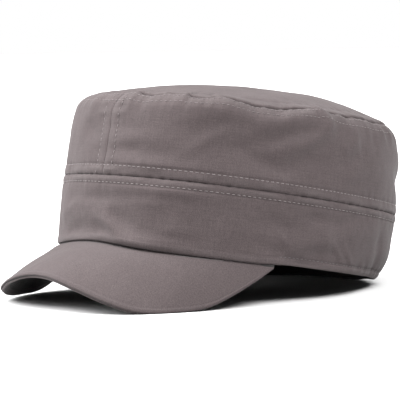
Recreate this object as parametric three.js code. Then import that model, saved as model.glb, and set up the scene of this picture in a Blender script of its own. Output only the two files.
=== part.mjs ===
// A patrol cap of plain cotton cloth, resting by itself on a flat surface.
//
// Millimetres, +Z up. The front of the cap looks along -Y and the wearer's left
// is +X. The origin is the middle of the cap's box, on the surface it rests on.
//
// The crown is worked out in the cap's own frame, where the rim is a level
// outline at height 0. The cap then leans back until the peak and the back of
// the rim both touch the surface, where the cloth is pressed flat.
//
// Angles run round the crown from the middle of the front, 0, by the wearer's
// left side to the middle of the back, half a turn.

import * as THREE from 'three';

// Driving dimensions of the crown, over the outer face of the cloth
const HALF_LENGTH = 102.1;
const HALF_WIDTH = 85.3;
const OUTLINE_POWER = 2.15;
const BAND_HEIGHT = 38.8;
const CROWN_HEIGHT = 88.3;
const CROWN_LEAN = 0.028;
const WALL_BULGE = 1.1;
const BULGE_HEIGHT = 36;
const SHOULDER_HEIGHT = 26;
const SHOULDER_INSET = 8.8;
const SHOULDER_POWER = 2.6;
const DOME_RISE = 14;
const DOME_POWER = 2.7;
const DOME_SKEW = 0.29;

// The rim's line, arched up over the middle of the peak and lower over its sides
const RIM_ARCH = 3;
const RIM_ARCH_ANGLE = THREE.MathUtils.degToRad(22);
const RIM_SAG = 1.2;
const SAG_EASE = 0.1;

// The cloth tucked under along the back of the rim
const TUCK_INSET = 6;
const TUCK_HEIGHT = 20;
const TUCK_START = THREE.MathUtils.degToRad(85);
const TUCK_FULL = THREE.MathUtils.degToRad(130);

// Cloth, seams and the clearance between two sewn pieces
const CLOTH = 1.4;
const HEM_CLOTH = 2.4;
const HEM_HEIGHT = 9;
const SEAM_GAP = 0.3;
const SEAM_WIDTH = 5.5;
const SEAM_PUFF = 0.5;
const FOLD_RELIEF = 2;
const PRESSED_FLAT = 0.6;

// Driving dimensions of the peak
const PEAK_HALF_ANGLE = THREE.MathUtils.degToRad(69);
const PEAK_REACH = 36;
const PEAK_DROP = 33;
const PEAK_SPREAD = 5.5;
const PEAK_BOW = 1.2;
const COVER_CLOTH = 1.25;

// How finely the curved faces are divided
const WALL_COLUMNS = 88;
const BAND_ROWS = 4;
const SIDE_ROWS = 4;
const TOP_COLUMNS = 60;
const TOP_ROWS = 7;
const PEAK_COLUMNS = 38;
const PEAK_ROWS = 7;

// Levels that count the crown's zones from the rim up
const LEVELS = { rim: 0, midSeam: 1, topSeam: 2, apex: 3 };
const HALF_TURN = Math.PI;

// Step between the points that a normal is worked out from, in levels and radians
const NORMAL_STEP = 0.01;

// Half of the peak's outer edge, from the middle of the front to its end.
// around: share of PEAK_HALF_ANGLE at which the section leaves the rim
// reach, spread, drop: how far the edge lies in front of, outside and under
// that place, as shares of PEAK_REACH, PEAK_SPREAD and PEAK_DROP
const PEAK_SECTIONS = [
  { around: 0.0, reach: 0.985, spread: 0.0, drop: 0.66 },
  { around: 0.26, reach: 1.0, spread: 0.71, drop: 0.785 },
  { around: 0.41, reach: 0.955, spread: 1.0, drop: 0.92 },
  { around: 0.55, reach: 0.87, spread: 0.87, drop: 1.0 },
  { around: 0.7, reach: 0.74, spread: 0.56, drop: 0.94 },
  { around: 0.83, reach: 0.52, spread: 0.45, drop: 0.76 },
  { around: 0.94, reach: 0.17, spread: 0.4, drop: 0.29 },
  { around: 1.0, reach: 0.03, spread: 0.2, drop: 0.04 },
];

// Soft ridges (relief above 0) and hollows (below 0) of the crown's wall.
// around: degrees from the front; height, length, width: shares of CROWN_HEIGHT
// slant: degrees that the fold climbs; relief: share of FOLD_RELIEF
const FOLDS = [
  { around: 71, height: 0.78, slant: 30, length: 0.18, width: 0.06, relief: 0.8 },
  { around: 57, height: 0.82, slant: 14, length: 0.3, width: 0.08, relief: -0.8 },
  { around: 78, height: 0.66, slant: 15, length: 0.26, width: 0.08, relief: -0.9 },
  { around: 96, height: 0.75, slant: -60, length: 0.14, width: 0.06, relief: 0.5 },
  { around: -8, height: 0.06, slant: 3, length: 0.45, width: 0.06, relief: 0.6 },
  { around: 13, height: 0.1, slant: -26, length: 0.22, width: 0.07, relief: 0.8 },
  { around: 4, height: 0.12, slant: -26, length: 0.12, width: 0.08, relief: -0.5 },
  { around: 84, height: 0.1, slant: 5, length: 0.16, width: 0.1, relief: -0.8 },
  { around: -58, height: 0.76, slant: 18, length: 0.25, width: 0.07, relief: 0.6 },
  { around: -70, height: 0.63, slant: 14, length: 0.24, width: 0.08, relief: -0.8 },
  { around: -118, height: 0.7, slant: -20, length: 0.22, width: 0.07, relief: -0.7 },
  { around: 138, height: 0.66, slant: -16, length: 0.24, width: 0.08, relief: -0.8 },
  { around: 155, height: 0.26, slant: 12, length: 0.2, width: 0.09, relief: -0.6 },
  { around: -142, height: 0.24, slant: -10, length: 0.22, width: 0.09, relief: -0.7 },
];

/** Smooth value of one column of a table at a place along its first column. */
function tableValue(table, place, column) {
  const last = table.length - 1;
  let low = 0;
  while (low < last - 1 && table[low + 1].around < place) {
    low += 1;
  }
  const slopeAt = (row) => {
    const before = table[Math.max(row - 1, 0)];
    const after = table[Math.min(row + 1, last)];
    const mirrored = row === 0 && column !== 'spread';
    return mirrored ? 0 : (after[column] - before[column]) / (after.around - before.around);
  };
  const start = table[low];
  const end = table[low + 1];
  const step = end.around - start.around;
  const t = (place - start.around) / step;
  const t2 = t * t;
  const t3 = t2 * t;
  return (
    (2 * t3 - 3 * t2 + 1) * start[column] +
    (t3 - 2 * t2 + t) * step * slopeAt(low) +
    (3 * t2 - 2 * t3) * end[column] +
    (t3 - t2) * step * slopeAt(low + 1)
  );
}

/** Point of a closed oval outline, seen from above, at an angle from the front. */
function ovalPoint(angle, halfLength, halfWidth) {
  const side = Math.sin(angle);
  const front = Math.cos(angle);
  const powers = Math.abs(side) ** OUTLINE_POWER + Math.abs(front) ** OUTLINE_POWER;
  const radius = powers ** (-1 / OUTLINE_POWER);
  return new THREE.Vector2(halfWidth * side * radius, -halfLength * front * radius);
}

/** Outward direction of that outline, level with the rim. */
function ovalNormal(angle, halfLength, halfWidth) {
  const point = ovalPoint(angle, halfLength, halfWidth);
  const power = OUTLINE_POWER - 1;
  const x = (Math.sign(point.x) * Math.abs(point.x / halfWidth) ** power) / halfWidth;
  const y = (Math.sign(point.y) * Math.abs(point.y / halfLength) ** power) / halfLength;
  return new THREE.Vector2(x, y).normalize();
}

/** Half length of the crown's outline where it has lost some inset all round. */
function halfLengthLess(inset) {
  return HALF_LENGTH - inset;
}

/** Half width of that outline, in proportion to its length. */
function halfWidthLess(inset) {
  return (HALF_WIDTH * halfLengthLess(inset)) / HALF_LENGTH;
}

/** How far the wall has drawn in at the top seam. */
function topInset() {
  const above = (CROWN_HEIGHT - BULGE_HEIGHT) / BULGE_HEIGHT;
  return WALL_BULGE * above * above + SHOULDER_INSET;
}

/** Angle from the front, without its side. */
function turnFromFront(angle) {
  return Math.abs(Math.atan2(Math.sin(angle), Math.cos(angle)));
}

/** Height of the rim's line, level again past the ends of the peak. */
function rimHeight(angle) {
  const turn = turnFromFront(angle);
  const arch = RIM_ARCH * Math.exp(-((turn / RIM_ARCH_ANGLE) ** 2));
  const past = THREE.MathUtils.smoothstep(turn / PEAK_HALF_ANGLE, 1 - SAG_EASE, 1 + SAG_EASE);
  return arch - RIM_SAG * (1 - past);
}

/** Height of the top seam over a place of the crown, highest at the back. */
function topSeamHeight(y) {
  return CROWN_HEIGHT + CROWN_LEAN * y;
}

/** Relief of all the folds at a place on the wall. */
function foldRelief(angle, height) {
  let relief = 0;
  for (const fold of FOLDS) {
    const centre = THREE.MathUtils.degToRad(fold.around);
    const turn = Math.atan2(Math.sin(angle - centre), Math.cos(angle - centre));
    const across = turn * HALF_WIDTH;
    const up = height - fold.height * CROWN_HEIGHT;
    const slant = THREE.MathUtils.degToRad(fold.slant);
    const along = across * Math.cos(slant) + up * Math.sin(slant);
    const aside = up * Math.cos(slant) - across * Math.sin(slant);
    const length = fold.length * CROWN_HEIGHT;
    const width = fold.width * CROWN_HEIGHT;
    relief += fold.relief * Math.exp(-((along / length) ** 2) - (aside / width) ** 2);
  }
  return relief * FOLD_RELIEF;
}

/** Relief of the padded strip beside a seam, none on the seam itself. */
function seamRelief(distance) {
  const share = Math.abs(distance) / SEAM_WIDTH;
  return share < 1 ? SEAM_PUFF * Math.sin(Math.PI * share) : 0;
}

/** How far the lower edge is tucked under at the back. */
function tuckInset(angle, height) {
  const share = Math.max(0, 1 - height / TUCK_HEIGHT);
  const round = THREE.MathUtils.smoothstep(turnFromFront(angle), TUCK_START, TUCK_FULL);
  return TUCK_INSET * share * share * round;
}

/** Point on the outer face of the crown's wall, between the rim and the top seam. */
function wallPoint(angle, level) {
  const seam = ovalPoint(angle, halfLengthLess(topInset()), halfWidthLess(topInset()));
  const top = topSeamHeight(seam.y);
  const height =
    level < LEVELS.midSeam
      ? THREE.MathUtils.lerp(rimHeight(angle), BAND_HEIGHT, level)
      : THREE.MathUtils.lerp(BAND_HEIGHT, top, level - LEVELS.midSeam);
  const bulge = (height - BULGE_HEIGHT) / BULGE_HEIGHT;
  const shoulder = Math.max(0, 1 - (top - height) / SHOULDER_HEIGHT);
  const inset =
    WALL_BULGE * bulge * bulge +
    SHOULDER_INSET * shoulder ** SHOULDER_POWER +
    tuckInset(angle, height);
  const flat = ovalPoint(angle, halfLengthLess(inset), halfWidthLess(inset));
  const relief =
    foldRelief(angle, height) + seamRelief(height - BAND_HEIGHT) + seamRelief(top - height);
  flat.addScaledVector(ovalNormal(angle, HALF_LENGTH, HALF_WIDTH), relief);
  return new THREE.Vector3(flat.x, flat.y, height);
}

/** Point on the outer face of the domed top, between the top seam and its middle. */
function domePoint(angle, level) {
  const share = LEVELS.apex - level;
  const flat = ovalPoint(angle, halfLengthLess(topInset()), halfWidthLess(topInset()));
  flat.multiplyScalar(share);
  const skew = 1 + (DOME_SKEW * flat.y) / HALF_LENGTH;
  const rise = DOME_RISE * skew * (1 - share ** DOME_POWER);
  return new THREE.Vector3(flat.x, flat.y, topSeamHeight(flat.y) + rise);
}

/** Point on the outer face of the whole crown. */
function crownPoint(angle, level) {
  return level > LEVELS.topSeam ? domePoint(angle, level) : wallPoint(angle, level);
}

/** Unit normal of a surface at a place, from the points a step before and after it. */
function surfaceNormal(surface, u, v, stepV) {
  const alongU = surface(u + NORMAL_STEP, v).sub(surface(u - NORMAL_STEP, v));
  const alongV = surface(u, v + stepV).sub(surface(u, v - stepV));
  return alongU.cross(alongV).normalize();
}

/** Outer and inner point of the cloth at a place of the crown, whose rim is cut level. */
function crownCloth(angle, level, thickness) {
  const outer = crownPoint(angle, level);
  const inside = Math.min(Math.max(level, NORMAL_STEP), LEVELS.apex - 2 * NORMAL_STEP);
  const normal = surfaceNormal(crownPoint, angle, inside, NORMAL_STEP);
  if (level === LEVELS.rim) {
    normal.setZ(0).normalize();
  }
  return { outer, inner: outer.clone().addScaledVector(normal, -thickness) };
}

/** Upper face of the peak: across runs -1 to 1, out from -1 under the rim to 1. */
function peakPoint(across, out) {
  const angle = across * PEAK_HALF_ANGLE;
  const rimInset = WALL_BULGE + Math.max(0, -out) * HEM_CLOTH;
  const seat = ovalPoint(angle, halfLengthLess(rimInset), halfWidthLess(rimInset));
  const away = Math.max(0, out);
  const place = Math.min(Math.abs(across), 1);
  const reach = tableValue(PEAK_SECTIONS, place, 'reach');
  const spread = Math.sign(across) * PEAK_SPREAD * tableValue(PEAK_SECTIONS, place, 'spread');
  const drop = PEAK_DROP * tableValue(PEAK_SECTIONS, place, 'drop');
  const bow = PEAK_BOW * reach * 4 * away * (1 - away);
  return new THREE.Vector3(
    seat.x + spread * away,
    seat.y - PEAK_REACH * reach * away,
    rimHeight(angle) - SEAM_GAP + bow - drop * away,
  );
}

/** Upper and lower point of one cover of the peak, a depth under its upper face. */
function peakCloth(across, out, depth) {
  const inside = THREE.MathUtils.clamp(across, NORMAL_STEP - 1, 1 - NORMAL_STEP);
  const outside = Math.min(out, 1 - NORMAL_STEP);
  const normal = surfaceNormal(peakPoint, inside, outside, -NORMAL_STEP);
  const face = peakPoint(across, out);
  return {
    outer: face.clone().addScaledVector(normal, -depth),
    inner: face.clone().addScaledVector(normal, -depth - COVER_CLOTH),
  };
}

/** How far the cap leans back, so that its peak and back rim touch one plane. */
function restingLean() {
  const back = wallPoint(HALF_TURN, LEVELS.rim);
  let lean = 0;
  for (let column = 0; column <= PEAK_COLUMNS; column += 1) {
    const edge = peakCloth(column / PEAK_COLUMNS, 1, COVER_CLOTH + SEAM_GAP).inner;
    lean = Math.max(lean, Math.atan2(-edge.z, back.y - edge.y));
  }
  return lean;
}

const LEAN_BACK = restingLean();
const REST_LIFT = wallPoint(HALF_TURN, LEVELS.rim).y * Math.sin(LEAN_BACK) - PRESSED_FLAT;

/** Point of the cap leaning back at rest, pressed flat where it would go under. */
function atRest(point) {
  const placed = point.clone().applyAxisAngle(new THREE.Vector3(1, 0, 0), -LEAN_BACK);
  placed.z = Math.max(placed.z + REST_LIFT, 0);
  return placed;
}

/**
 * Closed shell of cloth from a grid of places, each with an outer and an inner
 * point. Rows run up the piece and columns round it. A closed round joins its
 * last column to its first, and a pole closes the top row in one point.
 */
function clothShell(grid, closedRound, pole) {
  const points = [];
  const faces = [];
  const columns = grid[0].length;
  const index = { outer: [], inner: [] };
  for (const side of ['outer', 'inner']) {
    for (const row of grid) {
      index[side].push(row.map((place) => points.push(place[side]) - 1));
    }
  }
  const quad = (a, b, c, d) => {
    const even = points[a].distanceTo(points[c]) <= points[b].distanceTo(points[d]);
    faces.push(...(even ? [a, b, c, a, c, d] : [a, b, d, b, c, d]));
  };
  const spans = closedRound ? columns : columns - 1;
  const { outer, inner } = index;
  const last = grid.length - 1;
  for (let column = 0; column < spans; column += 1) {
    const next = (column + 1) % columns;
    for (let row = 0; row < last; row += 1) {
      quad(outer[row][column], outer[row][next], outer[row + 1][next], outer[row + 1][column]);
      quad(inner[row][column], inner[row + 1][column], inner[row + 1][next], inner[row][next]);
    }
    quad(inner[0][column], inner[0][next], outer[0][next], outer[0][column]);
    if (!pole) {
      quad(outer[last][column], outer[last][next], inner[last][next], inner[last][column]);
    }
  }
  if (pole) {
    const top = points.push(pole.outer) - 1;
    const under = points.push(pole.inner) - 1;
    for (let column = 0; column < spans; column += 1) {
      const next = (column + 1) % columns;
      faces.push(outer[last][column], outer[last][next], top);
      faces.push(inner[last][next], inner[last][column], under);
    }
  }
  if (!closedRound) {
    const end = columns - 1;
    for (let row = 0; row < last; row += 1) {
      quad(outer[row][0], outer[row + 1][0], inner[row + 1][0], inner[row][0]);
      quad(outer[row][end], inner[row][end], inner[row + 1][end], outer[row + 1][end]);
    }
  }
  const geometry = new THREE.BufferGeometry().setFromPoints(points.map(atRest));
  geometry.setIndex(faces);
  geometry.computeVertexNormals();
  return geometry;
}

/** Levels of a piece's rows: those beside its two edges, and some evenly between them. */
function rowLevels(lower, upper, lowerRows, upperRows, count) {
  const start = lower + lowerRows.at(-1);
  const end = upper - upperRows.at(-1);
  const middle = Array.from({ length: count }, (_, row) =>
    THREE.MathUtils.lerp(start, end, (row + 1) / (count + 1)),
  );
  return [
    ...lowerRows.map((part) => lower + part),
    ...middle,
    ...upperRows.toReversed().map((part) => upper - part),
  ];
}

/** Distances from a seam to the rows beside it, as shares of a zone's height. */
function seamRows(zoneHeight) {
  return [SEAM_GAP / 2, SEAM_WIDTH / 2, SEAM_WIDTH].map((distance) => distance / zoneHeight);
}

/** Thickness of the band's cloth, turned up double in the hem along the rim. */
function bandThickness(level) {
  const height = level * BAND_HEIGHT;
  const single = THREE.MathUtils.smoothstep(height, HEM_HEIGHT / 2, HEM_HEIGHT);
  return THREE.MathUtils.lerp(HEM_CLOTH, CLOTH, single);
}

/** The band round the head, between the rim and the middle seam. */
function lowerBand() {
  const hemRows = [0, HEM_HEIGHT / 2, HEM_HEIGHT].map((height) => height / BAND_HEIGHT);
  const levels = rowLevels(LEVELS.rim, LEVELS.midSeam, hemRows, seamRows(BAND_HEIGHT), BAND_ROWS);
  const grid = levels.map((level) =>
    Array.from({ length: WALL_COLUMNS }, (_, column) =>
      crownCloth((2 * Math.PI * column) / WALL_COLUMNS, level, bandThickness(level)),
    ),
  );
  return clothShell(grid, true);
}

/** One side of the upper crown, from the front seam to the back seam. */
function crownSide(side) {
  const zone = CROWN_HEIGHT - BAND_HEIGHT;
  const levels = rowLevels(LEVELS.midSeam, LEVELS.topSeam, seamRows(zone), seamRows(zone), SIDE_ROWS);
  const columns = WALL_COLUMNS / 2;
  const seamAngle = SEAM_GAP / 2 / HALF_WIDTH;
  const grid = levels.map((level) =>
    Array.from({ length: columns + 1 }, (_, column) => {
      const share = side > 0 ? column / columns : 1 - column / columns;
      const angle = THREE.MathUtils.lerp(seamAngle, HALF_TURN - seamAngle, share);
      return crownCloth(side * angle, level, CLOTH);
    }),
  );
  return clothShell(grid, false);
}

/** The domed oval panel that closes the top of the crown. */
function topPanel() {
  const seamShare = SEAM_GAP / (HALF_LENGTH - topInset());
  const grid = Array.from({ length: TOP_ROWS }, (_, row) => {
    const level = THREE.MathUtils.lerp(LEVELS.topSeam + seamShare, LEVELS.apex, row / TOP_ROWS);
    return Array.from({ length: TOP_COLUMNS }, (_, column) =>
      crownCloth((2 * Math.PI * column) / TOP_COLUMNS, level, CLOTH),
    );
  });
  const top = crownPoint(0, LEVELS.apex);
  const pole = { outer: top, inner: top.clone().setZ(top.z - CLOTH) };
  return clothShell(grid, true, pole);
}

/** One cloth cover of the peak, a depth under the peak's upper face. */
function peakCover(depth) {
  const outs = Array.from({ length: PEAK_ROWS }, (_, row) => 1 - row / (PEAK_ROWS - 1));
  const grid = [...outs, -1].map((out) =>
    Array.from({ length: PEAK_COLUMNS + 1 }, (_, column) =>
      peakCloth((2 * column) / PEAK_COLUMNS - 1, out, depth),
    ),
  );
  return clothShell(grid, false);
}

/** Plain matt cotton of one colour. */
function cotton(colour) {
  return new THREE.MeshStandardMaterial({ color: colour, roughness: 0.92, metalness: 0 });
}

/** One named piece of the cap. */
function piece(name, geometry, colour) {
  const mesh = new THREE.Mesh(geometry, cotton(colour));
  mesh.name = name;
  return mesh;
}

const CLOTH_COLOUR = 0x7d7173;
const UNDERSIDE_COLOUR = 0x4a4344;

const cap = new THREE.Group();
cap.name = 'patrol_cap';
cap.add(
  piece('lower_band', lowerBand(), CLOTH_COLOUR),
  piece('crown_left', crownSide(1), CLOTH_COLOUR),
  piece('crown_right', crownSide(-1), CLOTH_COLOUR),
  piece('top_panel', topPanel(), CLOTH_COLOUR),
  piece('peak_cover', peakCover(0), CLOTH_COLOUR),
  piece('peak_underside', peakCover(COVER_CLOTH + SEAM_GAP), UNDERSIDE_COLOUR),
);

// The origin goes under the middle of the cap's box
const middle = new THREE.Box3().setFromObject(cap).getCenter(new THREE.Vector3());
cap.position.set(-middle.x, -middle.y, 0);
cap.updateMatrixWorld(true);

export default cap;
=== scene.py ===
"""Looks of a patrol cap of plain cotton cloth, resting by itself on a pale floor.

Every piece is a surface of two parameters on a numpy grid. It is worked out in
millimetres in the cap's own frame, where the rim is a level outline at height 0
and angles run round from the middle of the front, by the wearer's left side. It
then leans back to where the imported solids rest, and its mesh is made in metres.
"""

import logging
from collections.abc import Callable
from dataclasses import dataclass, field
from enum import Enum

import bpy
import numpy as np
from mathutils import Matrix, Vector


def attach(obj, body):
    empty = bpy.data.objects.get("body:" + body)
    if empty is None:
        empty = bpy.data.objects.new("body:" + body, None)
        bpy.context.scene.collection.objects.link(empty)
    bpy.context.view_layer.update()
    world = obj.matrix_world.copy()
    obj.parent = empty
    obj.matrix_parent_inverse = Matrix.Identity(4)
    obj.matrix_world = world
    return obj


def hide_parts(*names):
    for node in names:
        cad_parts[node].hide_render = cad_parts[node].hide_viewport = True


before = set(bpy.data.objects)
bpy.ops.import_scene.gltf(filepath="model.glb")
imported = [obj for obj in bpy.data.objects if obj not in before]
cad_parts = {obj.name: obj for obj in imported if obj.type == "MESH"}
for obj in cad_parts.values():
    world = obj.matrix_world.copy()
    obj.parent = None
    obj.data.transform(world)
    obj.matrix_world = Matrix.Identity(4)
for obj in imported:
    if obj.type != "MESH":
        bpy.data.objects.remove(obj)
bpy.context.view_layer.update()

LOG = logging.getLogger("patrol_cap")
METRES = 0.001
FULL_TURN = 2 * np.pi
HALF_TURN = np.pi
BODY = "root"
CLOTH_UV = "cloth"
# Attribute of relief that the cloth shows as wear where raised and as painted shade where sunk
WEAR_AND_SHADE = "wear"
# Attribute that marks the inner faces, which take painted shade
INSIDE = "inside"

NOISE_MIDDLE = 0.5

Array = np.ndarray
Surface = Callable[[Array, Array], Array]
LineTurn = Callable[[Array], Array]


class Side(Enum):
    """Sides of the crown, by the sign of their angles."""

    LEFT = 1
    RIGHT = -1


class Slot(Enum):
    """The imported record's material slots."""

    CLOTH = "cloth"
    UNDERSIDE = "underside_cloth"


def smoothstep(value: Array, start: float, end: float) -> Array:
    """Share that eases from 0 at start to 1 at end.

    Args:
        value: Places to read it at.
        start: Where the share leaves 0.
        end: Where it reaches 1.

    Returns:
        The share t * t * (3 - 2 * t), t running evenly from start to end.
    """
    t = np.clip((value - start) / (end - start), 0, 1)
    return t * t * (3 - 2 * t)


def bell(distance: Array) -> Array:
    """Bell curve exp(-d * d) of a distance in units of its width."""
    return np.exp(-np.square(distance))


def unit(vectors: Array) -> Array:
    """Vectors brought to length 1 along their last axis."""
    return vectors / np.linalg.norm(vectors, axis=-1, keepdims=True)


def wrapped(angle: Array) -> Array:
    """Angle brought to between minus and plus half a turn."""
    return np.arctan2(np.sin(angle), np.cos(angle))


def graded(start: float, end: float, fine: float, coarse: float, reach: float) -> Array:
    """Places from start to end, closer together near both ends.

    Args:
        start: First place.
        end: Last place.
        fine: Spacing within reach of either end.
        coarse: Spacing between them.
        reach: How far the fine spacing goes.

    Returns:
        The places, ends included, as the running sum of eased steps.
    """
    places = [0.0]
    length = end - start
    while places[-1] < length:
        near = min(places[-1], length - places[-1])
        places.append(places[-1] + (fine if near < reach else coarse))
    steps = np.array(places)
    return start + steps * length / steps[-1]


def surface_normal(surface: Surface, u: Array, v: Array, step_u: float, step_v: float) -> Array:
    """Unit normals of a surface from the points a step before and after each place.

    Args:
        surface: Gives the point at each pair of places.
        u: Places along the first direction.
        v: Places along the second.
        step_u: Step along the first.
        step_v: Step along the second.

    Returns:
        The cross product of the two differences, brought to length 1.
    """
    along_u = surface(u + step_u, v) - surface(u - step_u, v)
    along_v = surface(u, v + step_v) - surface(u, v - step_v)
    return unit(np.cross(along_u, along_v))


@dataclass(frozen=True)
class Rest:
    """How the cap lies: leaning back, lifted, and moved over the frame's origin."""

    lean: float = 0.17647015057601334
    lift: float = 16.077786290009943
    shift_x: float = -0.004024505615234375
    shift_y: float = 13.141044616699219

    def place(self, points: Array) -> Array:
        """Places points of the cap's own frame as they rest.

        Args:
            points: Points in millimetres.

        Returns:
            Points in metres, turned about X by the lean, lifted and moved, and
            pressed flat on the floor where they would go under it.
        """
        x, y, z = np.moveaxis(points, -1, 0)
        turned_y = y * np.cos(self.lean) + z * np.sin(self.lean)
        turned_z = z * np.cos(self.lean) - y * np.sin(self.lean)
        placed = [x + self.shift_x, turned_y + self.shift_y, np.maximum(turned_z + self.lift, 0)]
        return np.stack(placed, axis=-1) * METRES


@dataclass(frozen=True)
class Ripple:
    """Uneven wave along a seam: the sum of cosines with whole numbers of waves a turn."""

    seed: int
    shortest: float
    longest: float
    waves: int = 26
    round_length: float = 590.0

    def at(self, angle: Array) -> Array:
        """Height of the wave at angles, with a spread of about 1 both ways.

        Args:
            angle: Angles round the seam.

        Returns:
            The sum of the cosines, evened out for their number.
        """
        rng = np.random.default_rng(self.seed)
        lowest = int(self.round_length / self.longest)
        highest = int(self.round_length / self.shortest)
        numbers = rng.integers(lowest, highest + 1, self.waves)
        phases = rng.uniform(0, FULL_TURN, self.waves)
        total = np.cos(np.asarray(angle)[..., None] * numbers + phases).sum(-1)
        return total / np.sqrt(self.waves / 2)


@dataclass(frozen=True)
class Wrinkles:
    """Soft unevenness of the cloth: plane waves that run in seeded directions."""

    seed: int
    height: float
    shortest: float
    longest: float
    waves: int = 18
    round_length: float = 590.0

    def at(self, across: Array, up: Array) -> Array:
        """Relief of the waves over a sheet that closes on itself across its round length.

        Args:
            across: Distance along the round, in millimetres.
            up: Distance the other way.

        Returns:
            The sum of cosines, each with a whole number of waves a round.
        """
        rng = np.random.default_rng(self.seed)
        lengths = np.exp(rng.uniform(np.log(self.shortest), np.log(self.longest), self.waves))
        turns = rng.uniform(0, FULL_TURN, self.waves)
        phases = rng.uniform(0, FULL_TURN, self.waves)
        unit_wave = FULL_TURN / self.round_length
        total = np.zeros(np.broadcast(across, up).shape)
        for length, turn, phase in zip(lengths, turns, phases):
            number = np.round(self.round_length / length * np.cos(turn))
            total += np.cos(across * number * unit_wave + up * np.sin(turn) * FULL_TURN / length + phase)
        return total * self.height / np.sqrt(self.waves / 2)


@dataclass(frozen=True)
class Fold:
    """A soft ridge, or a hollow where its relief is below 0.

    Attributes:
        around: Degrees from the middle of the front.
        height: Height above the rim, in millimetres.
        slant: Degrees that it climbs.
        length: Half length, in millimetres.
        width: Half width, in millimetres.
        relief: How far it stands out, in millimetres.
    """

    around: float
    height: float
    slant: float
    length: float
    width: float
    relief: float

    def at(self, angle: Array, height: Array, radius: float) -> Array:
        """Relief of the fold at places on the wall, a bell curve along and across it.

        Args:
            angle: Angles from the front.
            height: Heights above the rim's level, in millimetres.
            radius: Millimetres of cloth for each radian.

        Returns:
            The relief times one bell along the fold and one across it.
        """
        across = wrapped(angle - np.radians(self.around)) * radius
        up = height - self.height
        slant = np.radians(self.slant)
        along = across * np.cos(slant) + up * np.sin(slant)
        aside = up * np.cos(slant) - across * np.sin(slant)
        return self.relief * bell(along / self.length) * bell(aside / self.width)


# Main folds of the wall, as in the solids
MAIN_FOLDS = (
    Fold(71, 68.9, 30, 15.9, 5.3, 1.6),
    Fold(57, 72.4, 14, 26.5, 7.1, -1.6),
    Fold(78, 58.3, 15, 23.0, 7.1, -1.8),
    Fold(96, 66.2, -60, 12.4, 5.3, 1.0),
    Fold(-8, 5.3, 3, 39.7, 5.3, 1.2),
    Fold(13, 8.8, -26, 19.4, 6.2, 1.6),
    Fold(4, 10.6, -26, 10.6, 7.1, -1.0),
    Fold(84, 8.8, 5, 14.1, 8.8, -1.6),
    Fold(-58, 67.1, 18, 22.1, 6.2, 1.2),
    Fold(-70, 55.6, 14, 21.2, 7.1, -1.6),
    Fold(-118, 61.8, -20, 19.4, 6.2, -1.4),
    Fold(138, 58.3, -16, 21.2, 7.1, -1.6),
    Fold(155, 23.0, 12, 17.7, 7.9, -1.2),
    Fold(-142, 21.2, -10, 19.4, 7.9, -1.4),
)

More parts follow.
